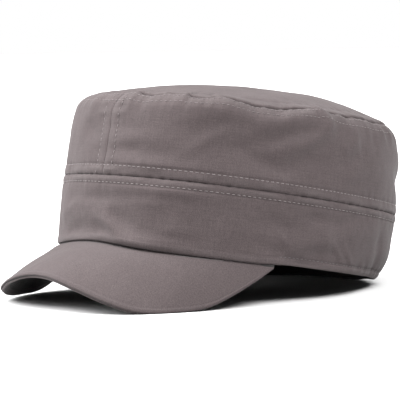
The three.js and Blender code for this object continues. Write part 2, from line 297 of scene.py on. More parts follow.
# Finer folds, which the solids leave out
FINE_FOLDS = (
    Fold(-18.1, 19.0, 20, 11.0, 3.4, 0.65),
    Fold(-16.1, 6.0, 0, 7.0, 2.5, -0.67),
    Fold(-14.8, 72.0, 0, 11.0, 3.4, 0.70),
    Fold(5.4, 5.0, 0, 7.0, 1.8, 0.70),
    Fold(10.1, 10.0, -40, 7.0, 3.4, 0.70),
    Fold(10.1, 17.0, -40, 7.0, 3.4, -0.70),
    Fold(20.2, 54.0, 0, 7.0, 3.4, 0.66),
    Fold(22.8, 25.0, 0, 18.0, 3.4, 0.66),
    Fold(25.5, 2.0, 0, 18.0, 3.4, -0.70),
    Fold(35.6, 73.0, 0, 11.0, 3.4, 0.67),
    Fold(35.6, 11.0, 0, 11.0, 3.4, 0.60),
    Fold(42.3, 63.0, 40, 18.0, 3.4, 0.64),
    Fold(55.8, 76.0, 0, 18.0, 3.4, 0.70),
    Fold(65.2, 65.0, 40, 18.0, 3.4, -0.59),
    Fold(72.5, 5.0, -20, 18.0, 3.4, -0.70),
    Fold(75.9, 75.0, 20, 7.0, 2.5, -0.70),
    Fold(75.9, 9.0, 40, 18.0, 3.4, 0.59),
    Fold(78.6, 4.0, 0, 18.0, 1.3, 0.38),
    Fold(83.3, 68.0, 20, 7.0, 3.4, -0.70),
    Fold(88.0, 16.0, -80, 11.0, 3.4, 0.70),
    Fold(95.4, 54.0, 20, 7.0, 3.4, 0.70),
    Fold(96.7, 75.0, -80, 7.0, 3.4, 0.70),
    Fold(97.4, 75.0, 40, 7.0, 3.4, 0.70),
    Fold(98.7, 30.0, 20, 11.0, 3.4, -0.70),
    Fold(107.5, 81.0, -80, 11.0, 2.5, -0.70),
    Fold(71, 69.5, 38, 13.0, 2.0, 0.6),
    Fold(92.5, 69.0, -70, 9.0, 1.8, 0.45),
    Fold(99, 72.0, -74, 8.0, 1.8, 0.4),
    Fold(93.5, 11.5, -44, 7.0, 1.7, 0.45),
    Fold(99.5, 9.5, -50, 6.0, 1.6, 0.4),
    Fold(69.7, 15.5, -46, 7.0, 1.8, 0.45),
    Fold(-34.9, 22.0, -80, 15.0, 6.0, 0.70),
    Fold(-24.2, 17.0, 80, 9.0, 5.0, 0.60),
    Fold(-22.8, 51.0, 80, 15.0, 6.0, -0.60),
    Fold(-19.5, 78.0, 0, 25.0, 5.0, 1.30),
    Fold(-12.1, 7.0, 0, 25.0, 5.0, -1.30),
    Fold(-8.1, 62.0, -20, 9.0, 5.0, -1.14),
    Fold(-4.7, 8.0, 0, 25.0, 5.0, -1.30),
    Fold(0.7, 26.0, 0, 25.0, 3.6, -1.07),
    Fold(5.4, 13.0, -20, 9.0, 2.6, 0.94),
    Fold(6.0, 66.0, 0, 25.0, 5.0, -1.30),
    Fold(14.8, 13.0, -40, 9.0, 5.0, -1.30),
    Fold(16.8, 54.0, 0, 15.0, 3.6, -1.17),
    Fold(21.5, 2.0, 0, 25.0, 5.0, 1.14),
    Fold(24.2, 46.0, 0, 25.0, 3.6, 1.30),
    Fold(25.5, 3.0, 0, 25.0, 3.6, 1.27),
    Fold(30.2, 32.0, 0, 25.0, 3.6, 1.24),
    Fold(37.6, 79.0, 0, 25.0, 5.0, 1.07),
    Fold(41.6, 80.0, 0, 25.0, 5.0, 1.30),
    Fold(61.1, 55.0, -20, 15.0, 5.0, -1.30),
    Fold(63.1, 45.0, 0, 25.0, 5.0, 1.18),
    Fold(64.5, 67.0, 20, 25.0, 5.0, -1.30),
    Fold(67.8, 78.0, 20, 25.0, 5.0, 2.30),
    Fold(69.2, 70.0, 20, 15.0, 3.6, -0.75),
    Fold(69.9, 21.0, 0, 9.0, 5.0, -1.10),
    Fold(78.6, 14.0, 0, 25.0, 5.0, 0.83),
    Fold(81.9, 76.0, 40, 25.0, 3.6, 1.29),
    Fold(81.9, 2.0, 0, 9.0, 2.6, -1.28),
    Fold(83.3, 81.0, -60, 9.0, 5.0, 1.30),
    Fold(84.0, 27.0, 0, 9.0, 3.6, -1.23),
    Fold(86.0, 15.0, 20, 25.0, 5.0, 1.12),
    Fold(97.4, 65.0, 40, 9.0, 5.0, -1.30),
    Fold(115.5, 19.0, 20, 15.0, 5.0, -0.96),
    Fold(118.9, 15.0, -80, 15.0, 5.0, -1.30),
    Fold(-40, 71.0, -52, 9.0, 2.2, 0.5),
    Fold(-96, 70.0, 62, 10.0, 2.2, 0.5),
    Fold(-150, 64.0, 40, 10.0, 2.4, 0.5),
    Fold(-80, 12.0, 40, 8.0, 2.2, 0.5),
    Fold(168, 66.0, 52, 9.0, 2.4, 0.5),
    Fold(-52, 75.0, 4, 32.0, 9.0, 1.2),
)


@dataclass(frozen=True)
class CreaseLift:
    """How far the top seam's crease rises or dips on its way round, and how open it is.

    Attributes:
        table: Rows of degrees from the front, the lift there in millimetres, and the
            share of the seam's full depth.
        reach: How far from the crease the cloth goes with it, in millimetres.
        ripple: The unevenness past the table's ends.
        height: Size of that unevenness, in millimetres.
        openness: The unevenness of the depth past the table's ends.
        open_share: Its middle there.
        open_spread: How far it goes both ways.
        open_limits: Its least and its most.
        ease: Degrees over which the table's say ends.
    """

    table: tuple[tuple[float, float, float], ...] = (
        (-62.0, 0.2, 0.2),
        (-30.0, 0.3, 0.1),
        (-6.0, 0.3, 0.1),
        (2.8, 0.4, 0.1),
        (8.8, 1.2, 0.2),
        (12.0, 0.1, 0.9),
        (16.3, -0.3, 1.2),
        (20.0, 0.3, 0.7),
        (23.0, 1.3, 0.1),
        (27.5, 0.9, 0.1),
        (31.3, 1.5, 0.1),
        (33.4, 0.0, 1.1),
        (38.0, -0.2, 1.2),
        (41.5, 0.7, 0.7),
        (44.0, 1.5, 0.1),
        (47.5, 1.0, 0.8),
        (51.3, 0.0, 1.2),
        (57.6, -1.4, 1.3),
        (66.5, -1.4, 1.3),
        (74.4, 0.0, 1.1),
        (79.6, 0.7, 0.9),
        (82.2, 1.7, 0.3),
        (87.1, 0.0, 1.4),
        (92.0, -0.2, 1.0),
        (97.1, -0.6, 1.4),
        (101.0, 0.3, 0.7),
        (106.7, 0.2, 1.4),
        (112.9, -0.6, 1.3),
        (118.8, -0.2, 1.0),
        (128.0, 0.4, 1.0),
        (146.7, -0.3, 0.8),
    )
    reach: float = 7.0
    ripple: Ripple = Ripple(seed=41, shortest=14.0, longest=60.0)
    height: float = 0.65
    openness: Ripple = Ripple(seed=42, shortest=12.0, longest=50.0)
    open_share: float = 0.8
    open_spread: float = 0.4
    open_limits: tuple[float, float] = (0.1, 1.3)
    ease: float = 6.0

    def inside(self, angle: Array) -> Array:
        """Share of the table's say at an angle, 1 between its ends.

        Args:
            angle: Angles from the front.

        Returns:
            The share, eased to 0 past the table's first and last row.
        """
        degrees = np.degrees(wrapped(angle))
        first = self.table[0][0]
        last = self.table[-1][0]
        return smoothstep(degrees, first - self.ease, first) * (
            1 - smoothstep(degrees, last, last + self.ease)
        )

    def read(self, angle: Array, column: int) -> Array:
        """Value of a column of the table, eased from row to row.

        Args:
            angle: Angles from the front.
            column: Column of the table, 1 for the lift and 2 for the depth.

        Returns:
            The values.
        """
        degrees = np.degrees(wrapped(angle))
        table = np.array(self.table)
        places = table[:, 0]
        values = table[:, column]
        row = np.clip(np.searchsorted(places, degrees) - 1, 0, len(places) - 2)
        share = smoothstep((degrees - places[row]) / (places[row + 1] - places[row]), 0, 1)
        return values[row] + (values[row + 1] - values[row]) * share

    def lift(self, angle: Array) -> Array:
        """Lift of the crease, in millimetres, rippled past the table's ends."""
        share = self.inside(angle)
        return self.read(angle, 1) * share + self.ripple.at(angle) * self.height * (1 - share)

    def depth(self, angle: Array) -> Array:
        """Share of the seam's full depth, rippled past the table's ends.

        Args:
            angle: Angles from the front.

        Returns:
            The shares.
        """
        share = self.inside(angle)
        ripple = self.open_share + self.open_spread * self.openness.at(angle)
        ripple = np.clip(ripple, *self.open_limits)
        return self.read(angle, 2) * share + ripple * (1 - share)


@dataclass(frozen=True)
class Seam:
    """Relief of the cloth on both sides of a sewn seam, in millimetres.

    Attributes:
        above: Width of the padded strip on the side of positive distances.
        below: Its width on the other side.
        puff: How far the upper strip stands out in its middle.
        puff_below: How far the lower strip does.
        groove: How deep the cloth dives at the seam itself.
        groove_width: How wide that dive is.
        channel: How deep the cloth dips just beyond the row of stitches.
        channel_width: How wide that dip is.
        gather: Height of the puckers across the row of stitches.
        gather_reach: How far the puckers run out from that row.
        long_ripple: Unevenness of the strip's fullness.
        puckers: The puckers' own wave.
        fullness: How far that unevenness goes, and the least fullness.
        deepening: How far the groove's depth varies, and its least share.
        gather_beyond: How much further the puckers run beyond the row.
    """

    above: float
    below: float
    puff: float
    puff_below: float
    groove: float
    groove_width: float
    channel: float
    channel_width: float
    gather: float
    gather_reach: float
    long_ripple: Ripple
    puckers: Ripple
    fullness: tuple[float, float] = (0.4, 0.2)
    deepening: tuple[float, float] = (0.45, 0.3)
    gather_beyond: float = 1.5

    def relief(self, distance: Array, place: Array, openness: Array | float = 1.0) -> Array:
        """Relief at a distance from the seam.

        Args:
            distance: Millimetres from the seam, positive on its upper side.
            place: Place along the seam, as an angle.
            openness: Share of the groove's full depth there.

        Returns:
            The strip's rounded back, less the seam's groove and the channel of
            stitches, with puckers that die out on both sides of the channel.
        """
        width = np.where(distance > 0, self.above, self.below)
        share = np.abs(distance) / width
        spread, least = self.fullness
        fullness = np.maximum(1 + spread * self.long_ripple.at(place), least)
        puff = np.where(distance > 0, self.puff, self.puff_below)
        back = puff * np.sin(HALF_TURN * np.minimum(share, 1)) * fullness
        spread, least = self.deepening
        depth = np.maximum(1 + spread * self.puckers.at(place + HALF_TURN), least)
        groove = self.groove * openness * depth * bell(distance / self.groove_width)
        beside = (share - 1) * width
        channel = self.channel * bell(beside / self.channel_width - 1)
        reach = self.gather_reach * np.where(beside > 0, self.gather_beyond, 1)
        gather = self.gather * self.puckers.at(place) * bell(beside / reach)
        return back - groove - channel + gather


@dataclass(frozen=True)
class CrownForm:
    """Outer face of the crown's cloth, with the sizes of the solids, in millimetres."""

    half_length: float = 102.1
    half_width: float = 85.3
    outline_power: float = 2.15
    band_height: float = 38.8
    crown_height: float = 88.3
    crown_lean: float = 0.028
    wall_bulge: float = 1.1
    bulge_height: float = 36.0
    shoulder_height: float = 26.0
    shoulder_inset: float = 8.8
    shoulder_power: float = 2.6
    dome_rise: float = 14.0
    dome_power: float = 2.7
    dome_skew: float = 0.29
    rim_arch: float = 3.0
    rim_arch_angle: float = 22.0
    rim_sag: float = 1.2
    sag_ease: float = 0.1
    peak_half_angle: float = 69.0
    tuck_inset: float = 7.6
    tuck_height: float = 22.0
    tuck_start: float = 85.0
    tuck_full: float = 130.0
    normal_angle: float = 0.006
    normal_length: float = 0.4
    pole_steps: int = 3

    @property
    def top_inset(self) -> float:
        """How far the wall has drawn in at the top seam."""
        above = (self.crown_height - self.bulge_height) / self.bulge_height
        return self.wall_bulge * above**2 + self.shoulder_inset

    def oval(self, angle: Array, inset: Array) -> Array:
        """Points of the crown's outline from above, where it has lost some inset.

        Args:
            angle: Angles from the front.
            inset: Loss of half length, in millimetres; the width goes with it.

        Returns:
            Points (b s r, -a c r) with r = (|s|**p + |c|**p) ** (-1 / p), where s
            and c are the angle's sine and cosine, a and b the half sizes.
        """
        sine = np.sin(angle)
        cosine = np.cos(angle)
        powers = np.abs(sine) ** self.outline_power + np.abs(cosine) ** self.outline_power
        radius = powers ** (-1 / self.outline_power)
        length = self.half_length - inset
        width = self.half_width * length / self.half_length
        return np.stack(np.broadcast_arrays(width * sine * radius, -length * cosine * radius), -1)

    def oval_normal(self, angle: Array) -> Array:
        """Outward directions of that outline, level with the rim.

        Args:
            angle: Angles from the front.

        Returns:
            The gradient of the outline's formula, brought to length 1.
        """
        point = self.oval(angle, 0.0)
        halves = np.array([self.half_width, self.half_length])
        power = self.outline_power - 1
        flat = np.sign(point) * np.abs(point / halves) ** power / halves
        return np.concatenate([unit(flat), np.zeros(flat.shape[:-1] + (1,))], axis=-1)

    def top_height(self, angle: Array) -> Array:
        """Height of the top seam, highest at the back."""
        return self.crown_height + self.crown_lean * self.oval(angle, self.top_inset)[..., 1]

    def rim_height(self, angle: Array) -> Array:
        """Height of the rim's line, arched over the peak's middle, sagging over its sides.

        Args:
            angle: Angles from the front.

        Returns:
            Heights: a bell at the front less a sag that ends with the peak.
        """
        turn = np.degrees(np.abs(wrapped(angle)))
        past = smoothstep(turn / self.peak_half_angle, 1 - self.sag_ease, 1 + self.sag_ease)
        return self.rim_arch * bell(turn / self.rim_arch_angle) - self.rim_sag * (1 - past)

    def tuck(self, angle: Array, height: Array) -> Array:
        """How far the lower edge is tucked under at the back.

        Args:
            angle: Angles from the front.
            height: Heights above the rim's level, in millimetres.

        Returns:
            The inset, growing by the square of the way down to the rim.
        """
        share = np.maximum(0, 1 - height / self.tuck_height)
        turn = np.degrees(np.abs(wrapped(angle)))
        return self.tuck_inset * share**2 * smoothstep(turn, self.tuck_start, self.tuck_full)

    def wall(self, angle: Array, height: Array) -> Array:
        """Points on the plain wall, without its folds and seams.

        Args:
            angle: Angles from the front.
            height: Heights above the rim's level, in millimetres.

        Returns:
            Points on the outline, drawn in by the square of the distance from the
            fullest height, by the shoulder's power near the top and by the tuck.
        """
        top = self.top_height(angle)
        bulge = (height - self.bulge_height) / self.bulge_height
        shoulder = np.clip(1 - (top - height) / self.shoulder_height, 0, None)
        inset = self.wall_bulge * bulge**2 + self.shoulder_inset * shoulder**self.shoulder_power
        flat = self.oval(angle, inset + self.tuck(angle, height))
        return np.concatenate([flat, np.broadcast_to(height, flat.shape[:-1])[..., None]], axis=-1)

    def dome(self, angle: Array, inward: Array) -> Array:
        """Points on the domed top: 0 inward is the top seam and 1 its middle.

        Args:
            angle: Angles from the front.
            inward: Shares of the way from the seam to the middle.

        Returns:
            The top seam's outline times the rest of the way, rising by 1 less a
            power of that rest, and more so at the back.
        """
        rest = 1 - inward
        flat = self.oval(angle, self.top_inset) * rest[..., None]
        along = flat[..., 1]
        skew = 1 + self.dome_skew * along / self.half_length
        rise = self.dome_rise * skew * (1 - np.abs(rest) ** self.dome_power)
        height = self.crown_height + self.crown_lean * along + rise
        return np.concatenate([flat, height[..., None]], axis=-1)

    def wall_normal(self, angle: Array, height: Array) -> Array:
        """Outward normals of the plain wall."""
        return surface_normal(self.wall, angle, height, self.normal_angle, self.normal_length)

    def dome_normal(self, angle: Array, inward: Array) -> Array:
        """Outward normals of the plain dome."""
        inside = np.minimum(inward, 1 - self.pole_steps * self.normal_angle)
        return surface_normal(self.dome, angle, inside, self.normal_angle, self.normal_angle)

    def arc_lengths(self, samples: int = 4096) -> tuple[Array, Array]:
        """Angles from the front, a turn of them, and the length of outline up to each.

        Args:
            samples: Number of places round the outline.

        Returns:
            The angles and the running sum of the distances between them.
        """
        angles = np.linspace(0, FULL_TURN, samples)
        points = self.oval(angles, self.wall_bulge)
        steps = np.linalg.norm(np.diff(points, axis=0), axis=-1)
        return angles, np.concatenate([[0.0], np.cumsum(steps)])

    def angle_at(self, distance: Array) -> Array:
        """Angle at a distance in millimetres along the outline from the front.

        Args:
            distance: Millimetres along the outline.

        Returns:
            Angles, read between the samples.
        """
        angles, lengths = self.arc_lengths()
        turns, part = np.divmod(distance, lengths[-1])
        return np.interp(part, lengths, angles) + turns * FULL_TURN

    def length_at(self, angle: Array) -> Array:
        """Distance along the outline from the front to an angle.

        Args:
            angle: Angles from the front.

        Returns:
            Millimetres, read between the samples.
        """
        angles, lengths = self.arc_lengths()
        turns, part = np.divmod(angle, FULL_TURN)
        return np.interp(part, angles, lengths) + turns * lengths[-1]


@dataclass(frozen=True)
class RimSettle:
    """How the soft rim of the back sinks onto the floor beside the place where it rests.

    Attributes:
        deepest: The most that the rim sinks, in millimetres.
        height: How high up the band it is felt, in millimetres.
        right: Degrees between which it sets in on the wearer's right.
        left: Degrees between which it sets in on the wearer's left.
        press: How far the rim is pressed against the floor, in millimetres.
        rest: How the cap lies.
    """

    deepest: float = 4.0
    height: float = 9.0
    right: tuple[float, float] = (108.0, 130.0)
    left: tuple[float, float] = (156.0, 172.0)
    press: float = 1.2
    rest: Rest = Rest()

    def drop(self, angle: Array, up: Array, rim: Array) -> Array:
        """How far the cloth goes down.

        Args:
            angle: Angles from the front.
            up: Heights over the rim.
            rim: Points of the rim's line at those angles.

        Returns:
            The rim's own height over the floor, up to the deepest, dying out upward.
        """
        degrees = np.degrees(wrapped(angle))
        share = smoothstep(-degrees, *self.right) + smoothstep(degrees, *self.left)
        over = self.rest.place(rim)[..., 2] / METRES
        sunk = np.clip(over, 0, self.deepest) + self.press
        return sunk * share * bell(np.maximum(up, 0) / self.height)


@dataclass(frozen=True)
class FrontLine:
    """Line of the front seam, which runs a little to the wearer's left.

    Attributes:
        table: Rows of height over the rim, in millimetres, and degrees to the left.
        width: Degrees from the seam over which the cloth goes with it.
    """

    table: tuple[tuple[float, float], ...] = ((38.8, 2.7), (58.0, 2.7), (75.0, 1.2), (88.0, 2.2))
    width: float = 14.0

    def turn(self, height: Array) -> Array:
        """Angle of the seam at a height, eased from row to row.

        Args:
            height: Heights above the rim's level, in millimetres.

        Returns:
            Angles to the wearer's left.
        """
        table = np.array(self.table)
        degrees = np.interp(height, table[:, 0], table[:, 1])
        return np.radians(degrees)

    def warp(self, angle: Array, height: Array) -> Array:
        """Angles near the front moved along with the seam."""
        near = bell(np.degrees(wrapped(angle)) / self.width)
        return angle + self.turn(height) * near


@dataclass(frozen=True)
class CrownCloth:
    """The crown's outer face with everything that sewing and wear did to it.

    Attributes:
        end_seam: The front and back seams, which start over the middle seam.
        end_start: Height over the middle seam by which they are whole.
        end_reach: How many strip widths from them their relief is read.
        end_closed: Share by which their grooves close up towards the top.
        end_closing: Distances under the top seam between which they do.
        ledge: How full the wall is just under the top seam.
        ledge_spread: How far that fullness is uneven, as a share.
        ledge_below: How far under the seam it lies.
        ledge_width: How wide it is.
        hem_row: Height of the hem's stitches over the rim.
        hem_bare: Degrees past the peak's end between which the hem comes free.
        dome_calm: Distances from the top seam between which unevenness sets in.
        dome_seam_fade: The same, below 0, for the end of the seam's relief.
    """

    form: CrownForm = CrownForm()
    front: FrontLine = FrontLine()
    crease: CreaseLift = CreaseLift()
    settle: RimSettle = RimSettle()
    mid_seam: Seam = Seam(
        above=5.4,
        below=4.1,
        puff=0.35,
        puff_below=0.42,
        groove=0.42,
        groove_width=0.8,
        channel=0.24,
        channel_width=0.6,
        gather=0.05,
        gather_reach=2.6,
        long_ripple=Ripple(seed=11, shortest=18.0, longest=90.0),
        puckers=Ripple(seed=12, shortest=4.2, longest=11.0),
    )
    top_seam: Seam = Seam(
        above=6.0,
        below=5.6,
        puff=0.3,
        puff_below=0.25,
        groove=0.9,
        groove_width=0.8,
        channel=0.05,
        channel_width=0.7,
        gather=0.09,
        gather_reach=3.4,
        long_ripple=Ripple(seed=21, shortest=12.0, longest=60.0),
        puckers=Ripple(seed=22, shortest=5.0, longest=14.0),
    )
    end_seam: Seam = Seam(
        above=6.0,
        below=6.0,
        puff=0.2,
        puff_below=0.2,
        groove=0.1,
        groove_width=0.6,
        channel=0.08,
        channel_width=0.7,
        gather=0.16,
        gather_reach=3.6,
        long_ripple=Ripple(seed=31, shortest=14.0, longest=50.0),
        puckers=Ripple(seed=32, shortest=4.6, longest=12.0),
    )
    end_start: float = 3.0
    end_reach: float = 4.0
    end_closed: float = 0.7
    end_closing: tuple[float, float] = (24.0, 6.0)
    ledge: float = 1.1
    ledge_spread: float = 0.25
    ledge_below: float = 6.5
    ledge_width: float = 4.6
    hem_row: float = 4.4
    hem_puff: float = 0.3
    hem_channel: float = 0.35
    hem_channel_width: float = 0.8
    hem_puckers: Ripple = Ripple(seed=51, shortest=6.0, longest=18.0)
    hem_gather: float = 0.12
    hem_gather_reach: float = 3.0
    hem_bare: tuple[float, float] = (-4.0, 2.0)
    dome_calm: tuple[float, float] = (2.0, 16.0)
    dome_seam_fade: tuple[float, float] = (-18.0, -9.0)
    wrinkles: Wrinkles = Wrinkles(seed=5, height=0.16, shortest=18.0, longest=70.0)
    crumple: Wrinkles = Wrinkles(seed=6, height=0.03, shortest=6.0, longest=16.0)

    def seam_relief(self, angle: Array, height: Array) -> Array:
        """Relief of the wall's seams and hem, in millimetres.

        Args:
            angle: Angles from the front.
            height: Heights above the rim's level, in millimetres.

        Returns:
            The sum of the middle, top, front and back seams and the hem.
        """
        form = self.form
        below_top = form.top_height(angle) - height
        relief = self.mid_seam.relief(height - form.band_height, angle)
        relief = relief + self.top_seam.relief(-below_top, angle, self.crease.depth(angle))
        openness = 1 - self.end_closed * smoothstep(below_top, *self.end_closing)
        above_mid = smoothstep(height - form.band_height, 0, self.end_start)
        up = height * FULL_TURN / self.end_seam.puckers.round_length
        for turn, start in ((self.front.turn(height), 0.0), (HALF_TURN, HALF_TURN)):
            aside = wrapped(angle - turn) * form.half_width
            near = np.abs(aside) < self.end_reach * self.end_seam.above
            ends = self.end_seam.relief(aside, up + start, openness)
            relief = relief + np.where(near, ends, 0) * above_mid
        return relief + self.hem_relief(angle, height)

    def hem_relief(self, angle: Array, height: Array) -> Array:
        """Relief of the turned hem along the rim: a low roll and its row of stitches.

        Args:
            angle: Angles from the front.
            height: Heights above the rim's level, in millimetres.

        Returns:
            The roll, less the row where no peak covers it, with its puckers.
        """
        up = height - self.form.rim_height(angle)
        roll = self.hem_puff * np.sin(HALF_TURN * np.clip(up / self.hem_row, 0, 1))
        past_peak = np.degrees(np.abs(wrapped(angle))) - self.form.peak_half_angle
        bare = smoothstep(past_peak, *self.hem_bare)
        beside = (up - self.hem_row) / self.hem_channel_width
        row = self.hem_channel * bell(beside) * bare
        near_row = bell((up - self.hem_row) / self.hem_gather_reach)
        gather = self.hem_gather * self.hem_puckers.at(angle) * near_row * bare
        return roll - row + gather

    def fold_relief(self, angle: Array, height: Array) -> Array:
        """Relief of all the folds of the wall, and of its full edge under the top seam.

        Args:
            angle: Angles from the front.
            height: Heights above the rim's level, in millimetres.

        Returns:
            The sum of the folds and of a bell just under the top seam.
        """
        folds = (fold.at(angle, height, self.form.half_width) for fold in MAIN_FOLDS + FINE_FOLDS)
        below = self.form.top_height(angle) - height
        uneven = 1 + self.ledge_spread * self.top_seam.long_ripple.at(angle)
        return sum(folds) + self.ledge * uneven * bell((below - self.ledge_below) / self.ledge_width)

    def wall_relief(self, angle: Array, height: Array) -> Array:
        """The wall's whole relief, in millimetres.

        Args:
            angle: Angles from the front.
            height: Heights above the rim's level, in millimetres.

        Returns:
            The sum of folds, seams and soft unevenness.
        """
        across = angle * self.wrinkles.round_length / FULL_TURN
        uneven = self.wrinkles.at(across, height) + self.crumple.at(across, height)
        return self.fold_relief(angle, height) + self.seam_relief(angle, height) + uneven

    def wall_crease(self, angle: Array, height: Array) -> Array:
        """How far the wall's cloth goes up with the top crease, or down with the rim.

        Args:
            angle: Angles from the front.
            height: Heights above the rim's level, in millimetres.

        Returns:
            Shifts along Z, as points, in millimetres.
        """
        below = (self.form.top_height(angle) - height) / self.crease.reach
        low = self.form.rim_height(angle)
        drop = self.settle.drop(angle, height - low, self.form.wall(angle, low))
        lift = self.crease.lift(angle) * bell(below) - drop
        return np.stack([np.zeros_like(lift), np.zeros_like(lift), lift], axis=-1)

    def wall(self, angle: Array, height: Array) -> Array:
        """Points on the wall's outer face, in millimetres.

        Args:
            angle: Angles from the front.
            height: Heights above the rim's level, in millimetres.

        Returns:
            The plain points with the crease, moved out by the relief.
        """
        normal = self.form.wall_normal(angle, height)
        plain = self.form.wall(angle, height) + self.wall_crease(angle, height)
        return plain + normal * self.wall_relief(angle, height)[..., None]

    def lining(self, angle: Array, height: Array, thickness: Array | float) -> Array:
        """Points on the wall's inner face, in millimetres.

        Args:
            angle: Angles from the front.
            height: Heights above the rim's level, in millimetres.
            thickness: Thickness of the cloth, in millimetres.

        Returns:
            The plain points with the crease, moved in by the thickness and out by
            the folds alone, because seams don't show inside.
        """
        normal = self.form.wall_normal(angle, height)
        plain = self.form.wall(angle, height) + self.wall_crease(angle, height)
        return plain + normal * (self.fold_relief(angle, height) - thickness)[..., None]

    def dome_distance(self, inward: Array) -> Array:
        """Distance of a place on the dome from the top seam, in millimetres."""
        return inward * (self.form.half_width - self.form.top_inset)

    def dome_relief(self, angle: Array, inward: Array) -> Array:
        """The domed top's whole relief, in millimetres.

        Args:
            angle: Angles from the front.
            inward: Shares of the way from the top seam to the middle.

        Returns:
            The sum of the seam near the edge and the soft unevenness inside it.
        """
        distance = self.dome_distance(inward)
        flat = self.form.dome(angle, inward)
        uneven = self.wrinkles.at(flat[..., 0], flat[..., 1]) * smoothstep(distance, *self.dome_calm)
        edge = self.top_seam.relief(distance, angle, self.crease.depth(angle))
        edge = edge * smoothstep(-distance, *self.dome_seam_fade)
        return edge + uneven + self.crumple.at(flat[..., 0], flat[..., 1])

    def seated_dome(self, angle: Array, inward: Array) -> Array:
        """The plain dome with its edge taken along by the crease and the wall's folds.

        Args:
            angle: Angles from the front.
            inward: Shares of the way from the top seam to the middle.

        Returns:
            The dome's points, lifted with the crease and pushed outward as far as
            the wall's folds stand out at the seam, both dying out inward.
        """
        near = bell(self.dome_distance(inward) / self.crease.reach)
        plain = self.form.dome(angle, inward)
        plain[..., 2] += self.crease.lift(angle) * near
        push = self.fold_relief(angle, self.form.top_height(angle)) * near
        outward = self.form.oval_normal(angle)
        return plain + outward * push[..., None]

    def dome(self, angle: Array, inward: Array) -> Array:
        """Points on the domed top's outer face, in millimetres.

        Args:
            angle: Angles from the front.
            inward: Shares of the way from the top seam to the middle.

        Returns:
            The seated dome, moved out by the relief.
        """
        normal = self.form.dome_normal(angle, inward)
        relief = self.dome_relief(angle, inward)
        return self.seated_dome(angle, inward) + normal * relief[..., None]


@dataclass(frozen=True)
class PeakForm:
    """Upper face of the peak, with the sizes of the solids, in millimetres.

    Attributes:
        reach: How far the edge lies in front of its place on the rim, at the most.
        spread: How far it lies outside it.
        drop: How far it lies under it.
        bow: How far the face is bowed up between the rim and the edge.
        hem_middle: Depth of the middle of the hem's cloth, where the root ends.
        least_tuck: Least depth of that end, where folds stand in.
        root_rise: How far the root turns up inside the hem.
        rise_start: Share of the way under the hem where that starts.
        far_lift: How much less the edge drops at one place on the wearer's right.
        far_place: That place, as a share of the half angle.
        far_width: How wide it is.
        sections: Rows of the share of the half angle, and the shares of the reach,
            the spread and the drop there.
        level_columns: Columns that are level at the middle of the front.
    """

    cloth: CrownCloth = CrownCloth()
    reach: float = 36.0
    spread: float = 5.5
    drop: float = 33.0
    bow: float = 1.2
    seam_gap: float = 0.3
    hem_middle: float = 1.2
    least_tuck: float = 0.4
    root_rise: float = 2.0
    rise_start: float = 0.35
    far_lift: float = 0.075
    far_place: float = 0.5
    far_width: float = 0.3
    sections: tuple[tuple[float, float, float, float], ...] = (
        (0.0, 0.985, 0.0, 0.66),
        (0.26, 1.0, 0.71, 0.785),
        (0.41, 0.955, 1.0, 0.92),
        (0.55, 0.87, 0.87, 1.0),
        (0.7, 0.74, 0.56, 0.94),
        (0.83, 0.52, 0.45, 0.76),
        (0.94, 0.17, 0.4, 0.29),
        (1.0, 0.03, 0.2, 0.04),
    )
    level_columns: tuple[int, ...] = (1, 3)
    normal_step: float = 0.006

    def section(self, place: Array, column: int) -> Array:
        """Value of one column of the sections, by a cubic through each pair of rows.

        Args:
            place: Shares of the half angle.
            column: Column of the table.

        Returns:
            Hermite curve whose slope at a row is that of its two neighbours, and
            level at the middle of the front where the two halves mirror.
        """
        table = np.array(self.sections)
        places = table[:, 0]
        values = table[:, column]
        last = len(places) - 1
        before = np.maximum(np.arange(last + 1) - 1, 0)
        after = np.minimum(np.arange(last + 1) + 1, last)
        slopes = (values[after] - values[before]) / (places[after] - places[before])
        if column in self.level_columns:
            slopes[0] = 0
        row = np.clip(np.searchsorted(places, place) - 1, 0, last - 1)
        step = places[row + 1] - places[row]
        t = (place - places[row]) / step
        start = (2 * t**3 - 3 * t**2 + 1) * values[row] + (t**3 - 2 * t**2 + t) * step * slopes[row]
        end = (3 * t**2 - 2 * t**3) * values[row + 1] + (t**3 - t**2) * step * slopes[row + 1]
        return start + end

    def face(self, across: Array, out: Array) -> Array:
        """Points on the peak's plain upper face.

        Args:
            across: From -1 at the wearer's right end to 1 at the left.
            out: From -1 under the hem, by 0 at the rim, to 1 at the outer edge.

        Returns:
            The rim's points moved by the sections' reach, spread and drop; under the
            hem they turn up into the middle of its cloth, which closes the join.
        """
        crown = self.cloth.form
        angle = across * np.radians(crown.peak_half_angle)
        rim = crown.rim_height(angle)
        under = np.maximum(0, -out)
        tuck = np.maximum(self.hem_middle - self.cloth.fold_relief(angle, rim), self.least_tuck)
        seat = crown.oval(angle, crown.wall_bulge + under * tuck)
        away = np.maximum(0, out)
        place = np.minimum(np.abs(across), 1)
        reach = self.section(place, 1)
        spread = np.sign(across) * self.spread * self.section(place, 2)
        lifted = 1 - self.far_lift * bell((across + self.far_place) / self.far_width)
        drop = self.drop * self.section(place, 3) * lifted
        bow = self.bow * reach * 4 * away * (1 - away)
        level = rim - self.seam_gap + self.root_rise * smoothstep(under, self.rise_start, 1)
        point = [seat[..., 0] + spread * away, seat[..., 1] - self.reach * reach * away]
        return np.stack([*point, level + bow - drop * away], axis=-1)

    def normal(self, across: Array, out: Array) -> Array:
        """Upward normals of the plain upper face.

        Args:
            across: From -1 at the wearer's right end to 1 at the left.
            out: From -1 under the hem to 1 at the outer edge.

        Returns:
            The normals, read a step inside the edges.
        """
        inside = np.clip(across, self.normal_step - 1, 1 - self.normal_step)
        outside = np.minimum(out, 1 - self.normal_step)
        return surface_normal(self.face, inside, outside, self.normal_step, -self.normal_step)


